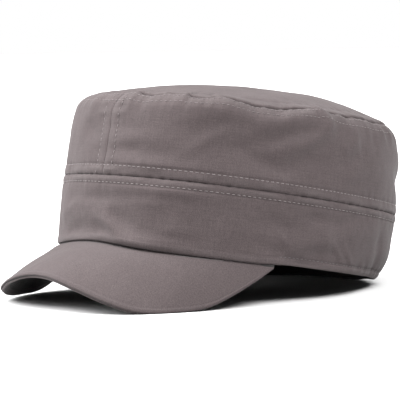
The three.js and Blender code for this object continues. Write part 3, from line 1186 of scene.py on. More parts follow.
@dataclass
class Shell:
    """A closed shell of cloth between an outer and an inner grid of points.

    Rows run up the piece and columns round it.

    Attributes:
        outer: Points of the outer face, rows by columns by 3, in millimetres.
        inner: Points of the inner face.
        cloth: Places in the cloth's own plane, rows by columns (one more column
            where the round is closed) by 2, in millimetres.
        wear: Relief that shows in the colour, rows by columns, in millimetres: raised places as wear, sunk
            places as painted shade.
        closed: Whether the last column joins the first.
        pole: Whether the top row closes round one point.
        bulges: How far the lower and the upper edge are rounded out.
        under_wear_and_shade: Share of that wear and painted shade that the inner face has too.
        rest: Where the points lie at rest.
        arc_steps: Rows of points round an edge.
    """

    outer: Array
    inner: Array
    cloth: Array
    wear: Array
    closed: bool = False
    pole: bool = False
    bulges: tuple[float, float] = (0.1, 0.1)
    under_wear_and_shade: float = 0.0
    rest: Rest = Rest()
    arc_steps: int = 4

    def arc(self, edge: int, beside: int, bulge: float) -> Array:
        """Rows of a rounded edge, from the outer to the inner face.

        Args:
            edge: Row of the edge.
            beside: Row next to it.
            bulge: How far the edge is rounded out, in millimetres.

        Returns:
            Points of half an ellipse, arc steps by columns by 3.
        """
        middle = (self.outer[edge] + self.inner[edge]) / 2
        half = (self.outer[edge] - self.inner[edge]) / 2
        along = unit(self.outer[edge] - self.outer[beside]) * bulge
        turns = np.arange(1, self.arc_steps + 1)[:, None, None] * HALF_TURN / (self.arc_steps + 1)
        return middle + half * np.cos(turns) + along * np.sin(turns)

    def inside(self) -> Array:
        """Share of the inner face for each row of the shell, 0 outside and 1 inside.

        Returns:
            One share for each row.
        """
        half = self.arc_steps // 2
        rows = len(self.outer)
        if self.pole:
            parts = [np.ones(rows), np.ones(half), np.zeros(self.arc_steps - half), np.zeros(rows)]
        else:
            turn = [np.zeros(half), np.ones(self.arc_steps - half)]
            parts = [turn[0], np.zeros(rows), *turn, np.ones(rows), turn[1]]
        return np.concatenate(parts)

    def rows(self) -> tuple[Array, Array, Array]:
        """All rows of the shell, in order round its profile, with cloth places and the relief shown as
        wear and painted shade.

        Returns:
            Points, cloth places, and relief shown as wear and painted shade, one row after another.
        """
        half = self.arc_steps // 2
        lower = self.arc(0, 1, self.bulges[0])
        lower_cloth = np.repeat(self.cloth[:1], self.arc_steps, axis=0)
        lower_wear_and_shade = np.repeat(self.wear[:1], self.arc_steps, axis=0)
        if self.pole:
            points = [self.inner[::-1], lower[::-1], self.outer]
            cloth = [self.cloth[::-1], lower_cloth, self.cloth]
            wear = [self.wear[::-1] * self.under_wear_and_shade, lower_wear_and_shade, self.wear]
            return np.concatenate(points), np.concatenate(cloth), np.concatenate(wear)
        upper = self.arc(-1, -2, self.bulges[1])
        upper_cloth = np.repeat(self.cloth[-1:], self.arc_steps, axis=0)
        upper_wear_and_shade = np.repeat(self.wear[-1:], self.arc_steps, axis=0)
        points = [lower[:half][::-1], self.outer, upper, self.inner[::-1], lower[half:][::-1]]
        cloth = [lower_cloth[:half], self.cloth, upper_cloth, self.cloth[::-1], lower_cloth[half:]]
        under = self.wear[::-1] * self.under_wear_and_shade
        wear = [lower_wear_and_shade[:half], self.wear, upper_wear_and_shade, under, lower_wear_and_shade[half:]]
        return np.concatenate(points), np.concatenate(cloth), np.concatenate(wear)

    def build(self, name: str) -> bpy.types.Object:
        """Makes the shell's object at its place at rest.

        Args:
            name: Name of the object and its mesh.

        Returns:
            The object, smooth, with a cloth UV map in metres, an attribute of relief shown as wear and
            painted shade, and one that marks the inner face.
        """
        points, cloth, wear = self.rows()
        count, columns = points.shape[:2]
        cloth_columns = cloth.shape[1]
        index = np.arange(count * columns).reshape(count, columns)
        cloth_index = np.arange(count * cloth_columns).reshape(count, cloth_columns)
        after = np.concatenate([index, index[:, :1]], axis=1) if self.closed else index
        if not self.pole:
            after = np.concatenate([after, after[:1]])
            cloth_index = np.concatenate([cloth_index, cloth_index[:1]])
        quads = [self.quads(after)]
        corners = [self.quads(cloth_index)]
        vertices = points.reshape(-1, 3)
        wears_and_shades = wear.reshape(-1)
        insides = np.repeat(self.inside(), columns)
        places = cloth.reshape(-1, 2)
        if not self.closed:
            half = count // 2
            near = np.arange(half)
            far = count - 1 - near
            for column, turn in ((0, 1), (columns - 1, -1)):
                ladder = np.stack([index[near, column], index[far, column]], axis=1)[:, ::turn]
                quads.append(self.quads(ladder[:, ::-1]))
                corners.append(self.quads(ladder[:, ::-1]))
        triangles = np.zeros((0, 3), int)
        triangle_corners = np.zeros((0, 3), int)
        if self.pole:
            poles = np.array([points[0].mean(axis=0), points[-1].mean(axis=0)])
            first = len(vertices)
            vertices = np.concatenate([vertices, poles])
            wears_and_shades = np.concatenate([wears_and_shades, [0.0, wears_and_shades[-1]]])
            insides = np.concatenate([insides, [1.0, 0.0]])
            middle = len(places)
            places = np.concatenate([places, cloth[-1].mean(axis=0)[None]])
            under = [after[0, 1:], after[0, :-1], np.full(columns, first)]
            over = [after[-1, :-1], after[-1, 1:], np.full(columns, first + 1)]
            triangles = np.concatenate([np.stack(under, 1), np.stack(over, 1)])
            under_cloth = [cloth_index[0, 1:], cloth_index[0, :-1], np.full(columns, middle)]
            over_cloth = [cloth_index[-1, :-1], cloth_index[-1, 1:], np.full(columns, middle)]
            triangle_corners = np.concatenate([np.stack(under_cloth, 1), np.stack(over_cloth, 1)])
        loops = (np.concatenate(quads), triangles)
        uv_loops = (np.concatenate(corners), triangle_corners)
        made = mesh_object(name, self.rest.place(vertices), loops)
        uv = np.concatenate([places[part.reshape(-1)] for part in uv_loops]) * METRES
        made.data.uv_layers.new(name=CLOTH_UV).data.foreach_set("uv", uv.reshape(-1))
        # The wear attribute carries wear and painted shade; the inside attribute marks the inner faces,
        # which take painted shade
        for layer_name, values in ((WEAR_AND_SHADE, wears_and_shades), (INSIDE, insides)):
            layer = made.data.attributes.new(layer_name, "FLOAT", "POINT")
            layer.data.foreach_set("value", values.astype(np.float32))
        return made

    @staticmethod
    def quads(index: Array) -> Array:
        """Quads of neighbouring rows and columns of a grid of indices."""
        corners = [index[:-1, :-1], index[:-1, 1:], index[1:, 1:], index[1:, :-1]]
        return np.stack(corners, axis=-1).reshape(-1, 4)


def mesh_object(name: str, points: Array, faces: tuple[Array, Array]) -> bpy.types.Object:
    """Makes a smooth mesh object at the origin.

    Args:
        name: Name of the object and its mesh.
        points: Vertices in metres.
        faces: Vertex indices of the quads and of the triangles.

    Returns:
        The object, linked to the scene.
    """
    mesh = bpy.data.meshes.new(name)
    mesh.vertices.add(len(points))
    mesh.vertices.foreach_set("co", points.astype(np.float32).reshape(-1))
    corners = np.concatenate([part.reshape(-1) for part in faces])
    counts = np.concatenate([np.full(len(part), part.shape[1]) for part in faces])
    mesh.loops.add(len(corners))
    mesh.loops.foreach_set("vertex_index", corners.astype(np.int32))
    mesh.polygons.add(len(counts))
    starts = np.concatenate([[0], np.cumsum(counts)[:-1]])
    mesh.polygons.foreach_set("loop_start", starts.astype(np.int32))
    mesh.polygons.foreach_set("use_smooth", np.ones(len(counts), bool))
    mesh.update(calc_edges=True)
    mesh.validate()
    made = bpy.data.objects.new(name, mesh)
    bpy.context.scene.collection.objects.link(made)
    return made


@dataclass(frozen=True)
class Stitches:
    """Rows of lockstitch: one short rounded length of thread for each stitch."""

    pitch: float = 3.0
    share: float = 0.8
    radius: float = 0.2
    lift: float = 0.12
    dive: float = 0.4
    stations: int = 5
    sides: int = 6
    least_round: float = 0.05
    rest: Rest = Rest()

    def lengths(self, centres: Array, ahead: Array, normals: Array) -> tuple[Array, Array, Array]:
        """Points, quads and numbering of the threads.

        Args:
            centres: Middles of the stitches on the cloth, in millimetres.
            ahead: Unit directions of the row there.
            normals: Unit normals of the cloth there.

        Returns:
            Points, the quads between them, and the points' numbers, stitches by
            stations by sides. A station's ring shrinks, and dives into the cloth,
            towards both ends.
        """
        along = np.linspace(-1, 1, self.stations)[None, :, None, None]
        turns = np.arange(self.sides)[None, None, :, None] * FULL_TURN / self.sides
        round_end = np.sqrt(np.maximum(1 - along**4, self.least_round))
        base = centres[:, None, None, :]
        out = normals[:, None, None, :]
        forward = ahead[:, None, None, :]
        aside = np.cross(normals, ahead)[:, None, None, :]
        height = self.lift - self.dive * along**4
        ring = (out * np.sin(turns) + aside * np.cos(turns)) * self.radius * round_end
        points = base + forward * along * self.pitch * self.share / 2 + out * height + ring
        index = np.arange(points[..., 0].size).reshape(points.shape[:-1])
        after = np.roll(index, -1, axis=2)
        corners = [index[:, :-1], after[:, :-1], after[:, 1:], index[:, 1:]]
        quads = np.stack(corners, axis=-1).reshape(-1, 4)
        return points.reshape(-1, 3), quads, index

    def build(self, name: str, rows: list[tuple[Array, Array, Array]]) -> bpy.types.Object:
        """Makes the threads of some rows one object.

        Args:
            name: Name of the object.
            rows: Centres, directions and normals of each row's stitches.

        Returns:
            The object, each thread a closed form.
        """
        centres, ahead, normals = (np.concatenate(part) for part in zip(*rows))
        points, quads, index = self.lengths(centres, ahead, normals)
        caps = []
        for end, turn in ((0, 1), (-1, -1)):
            ring = index[:, end, ::turn]
            fan = [np.stack([ring[:, 0], ring[:, k + 1], ring[:, k]], 1) for k in range(1, self.sides - 1)]
            caps.append(np.concatenate(fan))
        return mesh_object(name, self.rest.place(points), (quads, np.concatenate(caps)))

    def row(self, surface: Surface, u: Array, v: Array, normals: Array) -> tuple[Array, Array, Array]:
        """A row's stitches from a surface and the places of its stitches.

        Args:
            surface: Outer face of the cloth.
            u: First parameter of each stitch.
            v: Second parameter of each stitch.
            normals: Normals of the cloth there.

        Returns:
            Centres, unit directions along the row and normals made square to them.
        """
        centres = surface(u, v)
        ahead = unit(np.gradient(centres, axis=0))
        square = unit(normals - ahead * (normals * ahead).sum(-1, keepdims=True))
        return centres, ahead, square


class Socket:
    """A value on its way to a shader socket: Python's operators add its Math nodes."""

    def __init__(self, tree: "Nodes", source: bpy.types.NodeSocket) -> None:
        """Wraps one output socket of a tree."""
        self.tree = tree
        self.source = source

    def math(self, operation: str, *values: "Socket | float") -> "Socket":
        """Adds a Math node whose inputs are the values."""
        inputs = dict(enumerate(values))
        return self.tree.add("ShaderNodeMath", {"operation": operation}, inputs)

    def __add__(self, other: "Socket | float") -> "Socket":
        """Sum."""
        return self.math("ADD", self, other)

    def __radd__(self, other: float) -> "Socket":
        """Sum, from the right."""
        return self.math("ADD", other, self)

    def __sub__(self, other: "Socket | float") -> "Socket":
        """Difference."""
        return self.math("SUBTRACT", self, other)

    def __mul__(self, other: "Socket | float") -> "Socket":
        """Product."""
        return self.math("MULTIPLY", self, other)

    def sine(self) -> "Socket":
        """Sine."""
        return self.math("SINE", self)

    def clamped(self, low: float, high: float) -> "Socket":
        """Value kept between two limits."""
        return self.math("MINIMUM", self.math("MAXIMUM", self, low), high)


Value = Socket | float | tuple[float, ...]


class Nodes:
    """The node tree of one material or world, emptied for a new shader."""

    def __init__(self, owner: bpy.types.Material | bpy.types.World) -> None:
        """Starts with an empty tree.

        Args:
            owner: The material or world.
        """
        owner.use_nodes = True
        self.tree = owner.node_tree
        self.tree.nodes.clear()

    def add(
        self, kind: str, settings: dict[str, object], inputs: dict[str | int, Value], output: str | int = 0
    ) -> Socket:
        """Adds a node.

        Args:
            kind: The node's type.
            settings: Its settings, which are set first.
            inputs: Values or links of its sockets, by name or number.
            output: The output that is wanted.

        Returns:
            That output.
        """
        node = self.tree.nodes.new(kind)
        for name, value in settings.items():
            setattr(node, name, value)
        for name, value in inputs.items():
            if isinstance(value, Socket):
                self.tree.links.new(value.source, node.inputs[name])
            else:
                node.inputs[name].default_value = value
        if not len(node.outputs):
            return Socket(self, None)
        return Socket(self, node.outputs[output])

    def noise(self, place: Socket, scale: float, detail: float, roughness: float = 0.5) -> Socket:
        """Noise between 0 and 1 at a place."""
        inputs = {"Vector": place, "Scale": scale, "Detail": detail, "Roughness": roughness}
        return self.add("ShaderNodeTexNoise", {}, inputs, "Fac")

    def stretched(self, place: Socket, scale: tuple[float, float, float]) -> Socket:
        """A place with each axis scaled by its own number."""
        return self.add("ShaderNodeVectorMath", {"operation": "MULTIPLY"}, {0: place, 1: scale})

    def scaled(self, colour: Socket, factor: Socket) -> Socket:
        """A colour times a number."""
        inputs = {"Vector": colour, "Scale": factor}
        return self.add("ShaderNodeVectorMath", {"operation": "SCALE"}, inputs)

    def finish(self, shader: dict[str, Value]) -> None:
        """Ends a material's tree with a Principled shader and the output."""
        surface = self.add("ShaderNodeBsdfPrincipled", {}, shader)
        self.add("ShaderNodeOutputMaterial", {}, {"Surface": surface})

    def mix(self, share: Value, low: Value, high: Value) -> Socket:
        """Colour that goes from low to high with a share.

        Args:
            share: Share of the high colour.
            low: Colour at 0.
            high: Colour at 1.

        Returns:
            The mixed colour.
        """
        node = self.tree.nodes.new("ShaderNodeMix")
        node.data_type = "RGBA"
        ends = {"Factor_Float": share, "A_Color": low, "B_Color": high}
        for socket in node.inputs:
            if socket.identifier in ends:
                value = ends[socket.identifier]
                if isinstance(value, Socket):
                    self.tree.links.new(value.source, socket)
                else:
                    socket.default_value = value
        result = next(socket for socket in node.outputs if socket.identifier == "Result_Color")
        return Socket(self, result)


Colour = tuple[float, float, float, float]


@dataclass(frozen=True)
class ClothFinish:
    """Matt plain-woven cotton: weave, uneven yarns, mottled dye, worn ridges, painted shade in grooves and
    on inner faces.

    Attributes:
        name: Name of the material.
        colour: The dyed cloth.
        worn: The cloth where ridges are rubbed pale.
        deep: Painted shade in grooves, sunk relief and at the peak's edge.
        inner: Painted shade on the inner faces, inside the head hollow.
        pitch: Distance between two yarns, in metres.
        weave_depth: Height of the weave, in metres.
        grain: How far single yarns differ in colour, as a share.
        slub: How far longer stretches of yarn do.
        yarn_height: How far they stand out, as a share of the weave's depth.
        mottle: How far the dye is cloudy.
        sheen: Weight of the fuzz's sheen.
        yarn_scales: Noise waves a metre across a yarn and along it.
        grain_noise: Scale, detail and roughness of the single yarns' noise.
        cloud_noise: The same of the cloudy dye and wear.
        rub: Share of paling for a millimetre of relief, and of clouds in it.
        shade_per_depth: Share of painted shade for a millimetre of depth.
        weave_height: How far the even weave stands out, as a share of its depth.
        grain_height: How far the grain does.
    """

    name: str
    colour: Colour
    worn: Colour
    deep: Colour
    inner: Colour
    inner_shade_share: float = 1.0
    pitch: float = 0.00062
    weave_depth: float = 0.00016
    weave_strength: float = 0.55
    grain: float = 1.3
    slub: float = 0.35
    yarn_height: float = 0.5
    mottle: float = 0.18
    sheen: float = 0.07
    sheen_roughness: float = 0.5
    specular: float = 0.16
    roughness: float = 0.86
    roughness_spread: float = 0.12
    yarn_scales: tuple[float, float] = (1250.0, 90.0)
    yarn_detail: float = 2.0
    grain_noise: tuple[float, float, float] = (1700.0, 3.0, 0.65)
    cloud_noise: tuple[float, float, float] = (26.0, 3.0, 0.55)
    rub: tuple[float, float] = (0.9, 0.5)
    shade_per_depth: float = 1.2
    weave_height: float = 0.12
    grain_height: float = 0.9

    def make(self) -> bpy.types.Material:
        """Makes the material.

        Returns:
            A material whose yarns follow the cloth's UV map. The weave's height is
            the product of two sines across the yarns, made uneven by noise drawn
            out along each way of the yarns.
        """
        material = bpy.data.materials.new(self.name)
        nodes = Nodes(material)
        place = nodes.add("ShaderNodeUVMap", {"uv_map": CLOTH_UV}, {})
        solid = nodes.add("ShaderNodeTexCoord", {}, {}, "Object")
        across = nodes.add("ShaderNodeSeparateXYZ", {}, {0: place}, "X")
        up = Socket(nodes, across.source.node.outputs["Y"])
        turn = FULL_TURN / self.pitch / 2
        weave = (across * turn).sine() * (up * turn).sine()
        fine, long = self.yarn_scales
        warp = nodes.noise(nodes.stretched(place, (fine, long, 1)), 1.0, self.yarn_detail)
        weft = nodes.noise(nodes.stretched(place, (long, fine, 1)), 1.0, self.yarn_detail)
        yarns = warp + weft - 2 * NOISE_MIDDLE
        grain = nodes.noise(solid, *self.grain_noise) - NOISE_MIDDLE
        cloudy = nodes.noise(solid, *self.cloud_noise) - NOISE_MIDDLE
        wear = nodes.add("ShaderNodeAttribute", {"attribute_name": WEAR_AND_SHADE}, {}, "Fac")
        rubbed = (wear * self.rub[0] + cloudy * self.rub[1]).clamped(0.0, 1.0)
        # Sunk places take the deep colour: painted shade in grooves, hollows of the relief and at the
        # peak's edge
        sunk = (wear * -self.shade_per_depth).clamped(0.0, 1.0)
        tint = nodes.mix(rubbed, self.colour, self.worn)
        tint = nodes.mix(sunk, tint, self.deep)
        # Inner faces take the inner colour, a painted shade
        inside = nodes.add("ShaderNodeAttribute", {"attribute_name": INSIDE}, {}, "Fac")
        tint = nodes.mix(inside * self.inner_shade_share, tint, self.inner)
        uneven = grain * self.grain + yarns * self.slub + cloudy * self.mottle
        base = nodes.scaled(tint, uneven + 1.0)
        rough = self.roughness + grain * self.roughness_spread
        height = weave * self.weave_height + yarns * self.yarn_height + grain * self.grain_height
        bump = {"Strength": self.weave_strength, "Distance": self.weave_depth, "Height": height}
        normal = nodes.add("ShaderNodeBump", {}, bump)
        shader = {
            "Base Color": base,
            "Roughness": rough.clamped(0.0, 1.0),
            "Normal": normal,
            "Specular IOR Level": self.specular,
            "Sheen Weight": self.sheen,
            "Sheen Roughness": self.sheen_roughness,
        }
        nodes.finish(shader)
        return material


@dataclass(frozen=True)
class ThreadFinish:
    """Spun sewing thread, a little paler and smoother than the cloth."""

    name: str = "sewing_thread"
    colour: Colour = (0.159, 0.1399, 0.1399, 1.0)
    shade: Colour = (0.1145, 0.0999, 0.0999, 1.0)
    twist_scale: float = 2600.0
    specular: float = 0.3
    roughness: float = 0.7
    roughness_spread: float = 0.1
    sheen: float = 0.1
    ply_depth: float = 0.00008
    ply_strength: float = 0.5

    def make(self) -> bpy.types.Material:
        """Makes the material, its plies a fine noise in colour and bump.

        Returns:
            The material.
        """
        material = bpy.data.materials.new(self.name)
        nodes = Nodes(material)
        solid = nodes.add("ShaderNodeTexCoord", {}, {}, "Object")
        plies = nodes.noise(solid, self.twist_scale, 1.0)
        base = nodes.mix(plies, self.shade, self.colour)
        bump = {"Strength": self.ply_strength, "Distance": self.ply_depth, "Height": plies}
        normal = nodes.add("ShaderNodeBump", {}, bump)
        shader = {
            "Base Color": base,
            "Roughness": self.roughness + (plies - NOISE_MIDDLE) * self.roughness_spread,
            "Normal": normal,
            "Specular IOR Level": self.specular,
            "Sheen Weight": self.sheen,
        }
        nodes.finish(shader)
        return material


@dataclass(frozen=True)
class FloorFinish:
    """Plain pale matt floor."""

    name: str = "pale_floor"
    colour: Colour = (0.52, 0.52, 0.52, 1.0)
    roughness: float = 0.9
    specular: float = 0.1

    def make(self) -> bpy.types.Material:
        """Makes the material.

        Returns:
            The material.
        """
        material = bpy.data.materials.new(self.name)
        nodes = Nodes(material)
        shader = {
            "Base Color": self.colour,
            "Roughness": self.roughness,
            "Specular IOR Level": self.specular,
        }
        nodes.finish(shader)
        return material


# Painted shade: the dark colour of the inner faces, in place of the shadow inside the crown
HOLLOW_SHADE: Colour = (0.021, 0.0192, 0.0192, 1.0)
CLOTH = ClothFinish(
    name="grey_cotton",
    colour=(0.0518, 0.0405, 0.0413, 1.0),
    worn=(0.0687, 0.0571, 0.0575, 1.0),
    deep=(0.0385, 0.0301, 0.0306, 1.0),
    inner=HOLLOW_SHADE,
)
# Painted shade: the crown's cloth made darker for the peak, with stronger grain and weaker slubs
PEAK_CLOTH = ClothFinish(
    name="peak_cotton",
    colour=(0.0479, 0.0375, 0.0383, 1.0),
    worn=(0.0636, 0.0530, 0.0533, 1.0),
    deep=(0.0356, 0.0278, 0.0283, 1.0),
    inner=HOLLOW_SHADE,
    slub=0.12,
    yarn_height=0.15,
    grain=1.6,
)
# Painted shade: the peak's darker underside cloth, darkened further in place of the shade under the peak;
# its worn colour is the upper cloth turned under at the edge
UNDERSIDE = ClothFinish(
    name="dark_and_shaded_cotton",
    colour=(0.0115, 0.0074, 0.0076, 1.0),
    worn=(0.0506, 0.0405, 0.0414, 1.0),
    deep=(0.01, 0.0077, 0.0077, 1.0),
    inner=(0.0185, 0.0137, 0.0137, 1.0),
    inner_shade_share=0.0,
    mottle=0.1,
)

BRIGHT_THREAD = ThreadFinish()
DULL_THREAD = ThreadFinish(
    name="dull_thread",
    colour=(0.14, 0.121, 0.122, 1.0),
    shade=(0.104, 0.0885, 0.0893, 1.0),
)
HEM_THREAD = ThreadFinish(
    name="hem_thread",
    colour=(0.08, 0.068, 0.069, 1.0),
    shade=(0.062, 0.052, 0.053, 1.0),
)
ROW_THREADS = {
    "mid_seam_stitches": BRIGHT_THREAD,
    "top_seam_stitches": DULL_THREAD,
    "front_seam_stitches": DULL_THREAD,
    "back_seam_stitches": BRIGHT_THREAD,
    "hem_stitches": HEM_THREAD,
}


def dress(
    piece: bpy.types.Object, material: bpy.types.Material, slot: Slot, node: str | None = None
) -> None:
    """Gives a piece its material and its place in the frame.

    Args:
        piece: The piece.
        material: Its finish.
        slot: The record's slot that the finish stands for; not used.
        node: The solid that it replaces, if any.
    """
    piece.data.materials.append(material)
    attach(piece, BODY)
    if node:
        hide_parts(node)
    LOG.info("%s: %d vertices", piece.name, len(piece.data.vertices))


@dataclass
class LowerBand:
    """The band round the head, with its turned hem, up to the middle seam."""

    cloth: CrownCloth = field(default_factory=CrownCloth)
    columns: int = 720
    fine: float = 0.5
    coarse: float = 1.1
    reach: float = 7.0
    seam_gap: float = 0.3
    edge: float = 0.6
    top_bulge: float = 0.1
    cloth_thickness: float = 1.4
    hem_thickness: float = 2.4
    hem_height: float = 9.0

    def build(self) -> bpy.types.Object:
        """Makes the band: even columns by outline length, rows closer at both edges.

        Returns:
            The band's object.
        """
        form = self.cloth.form
        rows = graded(self.edge, form.band_height - self.seam_gap / 2, self.fine, self.coarse, self.reach)
        share = (rows[:, None] - rows[0]) / (rows[-1] - rows[0])
        lengths = np.linspace(0, form.arc_lengths()[1][-1], self.columns + 1)
        angle = np.broadcast_to(form.angle_at(lengths[:-1]), (len(rows), self.columns))
        rim = form.rim_height(angle) + self.edge
        height = rim + (rows[-1] - rim) * share
        outer = self.cloth.wall(angle, height)
        single = smoothstep(height - rim, self.hem_height / 2, self.hem_height)
        thick = self.hem_thickness + (self.cloth_thickness - self.hem_thickness) * single
        inner = self.cloth.lining(angle, height, thick)
        cloth = np.stack(np.broadcast_arrays(lengths[None, :], rows[:, None]), axis=-1)
        # Seam relief, shown as wear on ridges and as painted shade in grooves
        wear = self.cloth.seam_relief(angle, height)
        shell = Shell(outer, inner, cloth, wear, closed=True, bulges=(self.edge, self.top_bulge))
        return shell.build("lower_band_cloth")


@dataclass
class CrownSide:
    """One side of the upper crown, from the front seam to the back seam."""

    side: Side
    cloth: CrownCloth = field(default_factory=CrownCloth)
    fine: float = 0.5
    coarse: float = 0.95
    reach: float = 8.0
    seam_gap: float = 0.3
    end_gap: float = 0.02
    thickness: float = 1.4

    def build(self) -> bpy.types.Object:
        """Makes the side, its rows and columns closer beside its four seams.

        Returns:
            The side's object.
        """
        form = self.cloth.form
        half_round = form.arc_lengths()[1][-1] / 2
        gap = self.seam_gap / 2
        end = self.end_gap / 2
        lengths = graded(end, half_round - end, self.fine, self.coarse, self.reach)
        if self.side is Side.RIGHT:
            lengths = -lengths[::-1]
        bottom = form.band_height + gap
        rows = graded(bottom, form.crown_height - gap, self.fine, self.coarse, self.reach)
        share = (rows - rows[0]) / (rows[-1] - rows[0])
        angle = np.broadcast_to(form.angle_at(lengths), (len(rows), len(lengths)))
        top = form.top_height(angle) - gap
        height = bottom + (top - bottom) * share[:, None]
        angle = self.cloth.front.warp(angle, height)
        outer = self.cloth.wall(angle, height)
        inner = self.cloth.lining(angle, height, self.thickness)
        cloth = np.stack(np.broadcast_arrays(lengths[None, :], rows[:, None]), axis=-1)
        # Seam relief, shown as wear on ridges and as painted shade in grooves
        wear = self.cloth.seam_relief(angle, height)
        name = f"crown_{self.side.name.lower()}_cloth"
        return Shell(outer, inner, cloth, wear).build(name)


@dataclass
class TopPanel:
    """The domed oval panel that closes the top of the crown."""

    cloth: CrownCloth = field(default_factory=CrownCloth)
    columns: int = 600
    fine: float = 0.5
    coarse: float = 1.9
    reach: float = 11.0
    seam_gap: float = 0.3
    pole_gap: float = 1.6
    thickness: float = 1.4

    def build(self) -> bpy.types.Object:
        """Makes the panel: rings that shrink from the seam to one middle point.

        Returns:
            The panel's object.
        """
        form = self.cloth.form
        size = form.half_width - form.top_inset
        far = graded(self.seam_gap, 2 * size - self.pole_gap, self.fine, self.coarse, self.reach)
        rings = far[: len(far) // 2] * (size - self.pole_gap) / far[len(far) // 2 - 1]
        inward = rings[:, None] / size
        angles = np.linspace(0, FULL_TURN, self.columns + 1)
        angle = np.broadcast_to(angles[:-1], (len(rings), self.columns))
        inward = np.broadcast_to(inward, angle.shape)
        outer = self.cloth.dome(angle, inward)
        plain = self.cloth.seated_dome(angle, inward)
        inner = plain - form.dome_normal(angle, inward) * self.thickness
        flat = plain[..., :2]
        cloth = np.concatenate([flat, flat[:, :1]], axis=1)
        # Relief of the top, shown as wear where raised and as painted shade where sunk
        wear = self.cloth.dome_relief(angle, inward)
        shell = Shell(outer, inner, cloth, wear, closed=True, pole=True)
        return shell.build("top_panel_cloth")


@dataclass
class Peak:
    """The peak: an upper and a lower cloth cover, joined along a rolled edge.

    Attributes:
        crowding: Power by which the rows crowd at the edge.
        roll_puff: How far the turned edge stands out.
        roll_span: Lengths of the slope between which it grows to its full.
        roll_seam: How deep the seam behind it is.
        root_groove: How deep the cover dips at the rim.
        edge_shade: How far the very edge counts as sunk, for its colour alone, which gives it painted
            shade.
        thin_start: Where the covers start to thin towards the ends.
        thin_share: Share of the thickness that is left there.
        turned_edge: Distances from the edge between which the upper cloth, turned under there, gives way
            to the darker underside cloth with its painted shade.
        cloth_stretch: Scale of the weave's places across and out.
        wave_stretch: The same of the soft unevenness.
        root_calm: Share of the way out by which that has set in.
        under_share: Share of the relief that the underside has too.
    """

    form: PeakForm = field(default_factory=PeakForm)
    columns: int = 340
    rows_out: int = 48
    rows_under: int = 7
    crowding: float = 1.3
    cover_cloth: float = 1.25
    seam_gap: float = 0.12
    roll_puff: float = 0.22
    roll_width: float = 2.9
    roll_span: tuple[float, float] = (3.0, 14.0)
    roll_seam: float = 0.16
    roll_seam_width: float = 0.5
    root_groove: float = 0.4
    root_width: float = 1.4
    edge_shade: float = 0.45
    edge_shade_width: float = 1.6
    thin_start: float = 0.88
    thin_share: float = 0.2
    turned_edge: tuple[float, float] = (3.6, 4.8)
    edge_bulges: tuple[float, float] = (0.6, 0.1)
    cloth_stretch: tuple[float, float] = (1.0, 1.15)
    wave_stretch: tuple[float, float] = (1.2, 1.4)
    root_calm: float = 0.3
    under_share: float = 0.5
    wrinkles: Wrinkles = Wrinkles(seed=8, height=0.12, shortest=26.0, longest=80.0)
    crumple: Wrinkles = Wrinkles(seed=9, height=0.025, shortest=5.0, longest=14.0)

    def grid(self) -> tuple[Array, Array]:
        """Places across and out: even across by edge length, closer at the edge.

        Returns:
            Both places, rows out by columns across.
        """
        across = np.linspace(-1, 1, self.columns)
        away = 1 - np.linspace(0, 1, self.rows_out) ** self.crowding
        under = np.linspace(0, -1, self.rows_under)[1:]
        return np.meshgrid(across, np.concatenate([away, under]))

    def span(self, across: Array) -> Array:
        """Length of the slope from the rim to the outer edge, in millimetres.

        Args:
            across: Places across.

        Returns:
            The length from the section's reach and drop.
        """
        place = np.abs(across)
        reach = self.form.reach * self.form.section(place, 1)
        return np.hypot(reach, self.form.drop * self.form.section(place, 3))

    def relief(self, across: Array, out: Array) -> Array:
        """Relief of the cover: a roll at the edge, bounded by a seam, and a dip at the root.

        Args:
            across: Places across.
            out: Places out.

        Returns:
            A bell at the edge, less a narrow one behind it and one at the root.
        """
        span = self.span(across)
        from_edge = (1 - out) * span
        from_root = np.maximum(out, 0) * span
        half = self.roll_width / 2
        roll = self.roll_puff * bell((from_edge - half) / half)
        seam = self.roll_seam * bell((from_edge - self.roll_width) / self.roll_seam_width)
        dip = self.root_groove * bell(from_root / self.root_width)
        return (roll - seam) * smoothstep(span, *self.roll_span) - dip

    def thinness(self, across: Array) -> Array:
        """Share of the covers' thickness, which runs out towards the peak's two ends."""
        return 1 - (1 - self.thin_share) * smoothstep(np.abs(across), self.thin_start, 1)

    def uneven(self, across: Array, out: Array) -> Array:
        """Soft unevenness of the covers, in millimetres.

        Args:
            across: Places across.
            out: Places out.

        Returns:
            The waves, calm at the root.
        """
        place = self.form.face(across, out)
        away = smoothstep(out, 0, self.root_calm)
        across_stretch, out_stretch = self.wave_stretch
        waves = self.wrinkles.at(place[..., 0] * across_stretch, place[..., 1] * out_stretch)
        return waves * away + self.crumple.at(place[..., 0], place[..., 1]) * away

    def cover(self, name: str, depth: float, sign: float) -> bpy.types.Object:
        """Makes one cover.

        Args:
            name: Name of the object.
            depth: Depth of its upper face under the peak's upper face.
            sign: 1 where the upper face shows, -1 where the lower one does.

        Returns:
            The cover's object.
        """
        across, out = self.grid()
        face = self.form.face(across, out)
        normal = self.form.normal(across, out)
        relief = self.relief(across, out)
        uneven = self.uneven(across, out)
        thin = self.thinness(across)
        cloth = face[..., :2] * np.array(self.cloth_stretch)
        if sign > 0:
            outer = face + normal * (relief + uneven)[..., None]
            inner = face - normal * (self.cover_cloth * thin + np.minimum(0, relief))[..., None]
            from_edge = (1 - out) * self.span(across)
            # Painted shade at the very edge, which counts as sunk for its colour alone; the root's dip
            # takes painted shade too
            wear = relief - self.edge_shade * bell(from_edge / self.edge_shade_width)
            return Shell(outer, inner, cloth, wear, bulges=self.edge_bulges).build(name)
        outer = face - normal * (depth * thin)[..., None]
        lower = (depth + self.cover_cloth) * thin + self.under_share * relief - uneven
        inner = face - normal * lower[..., None]
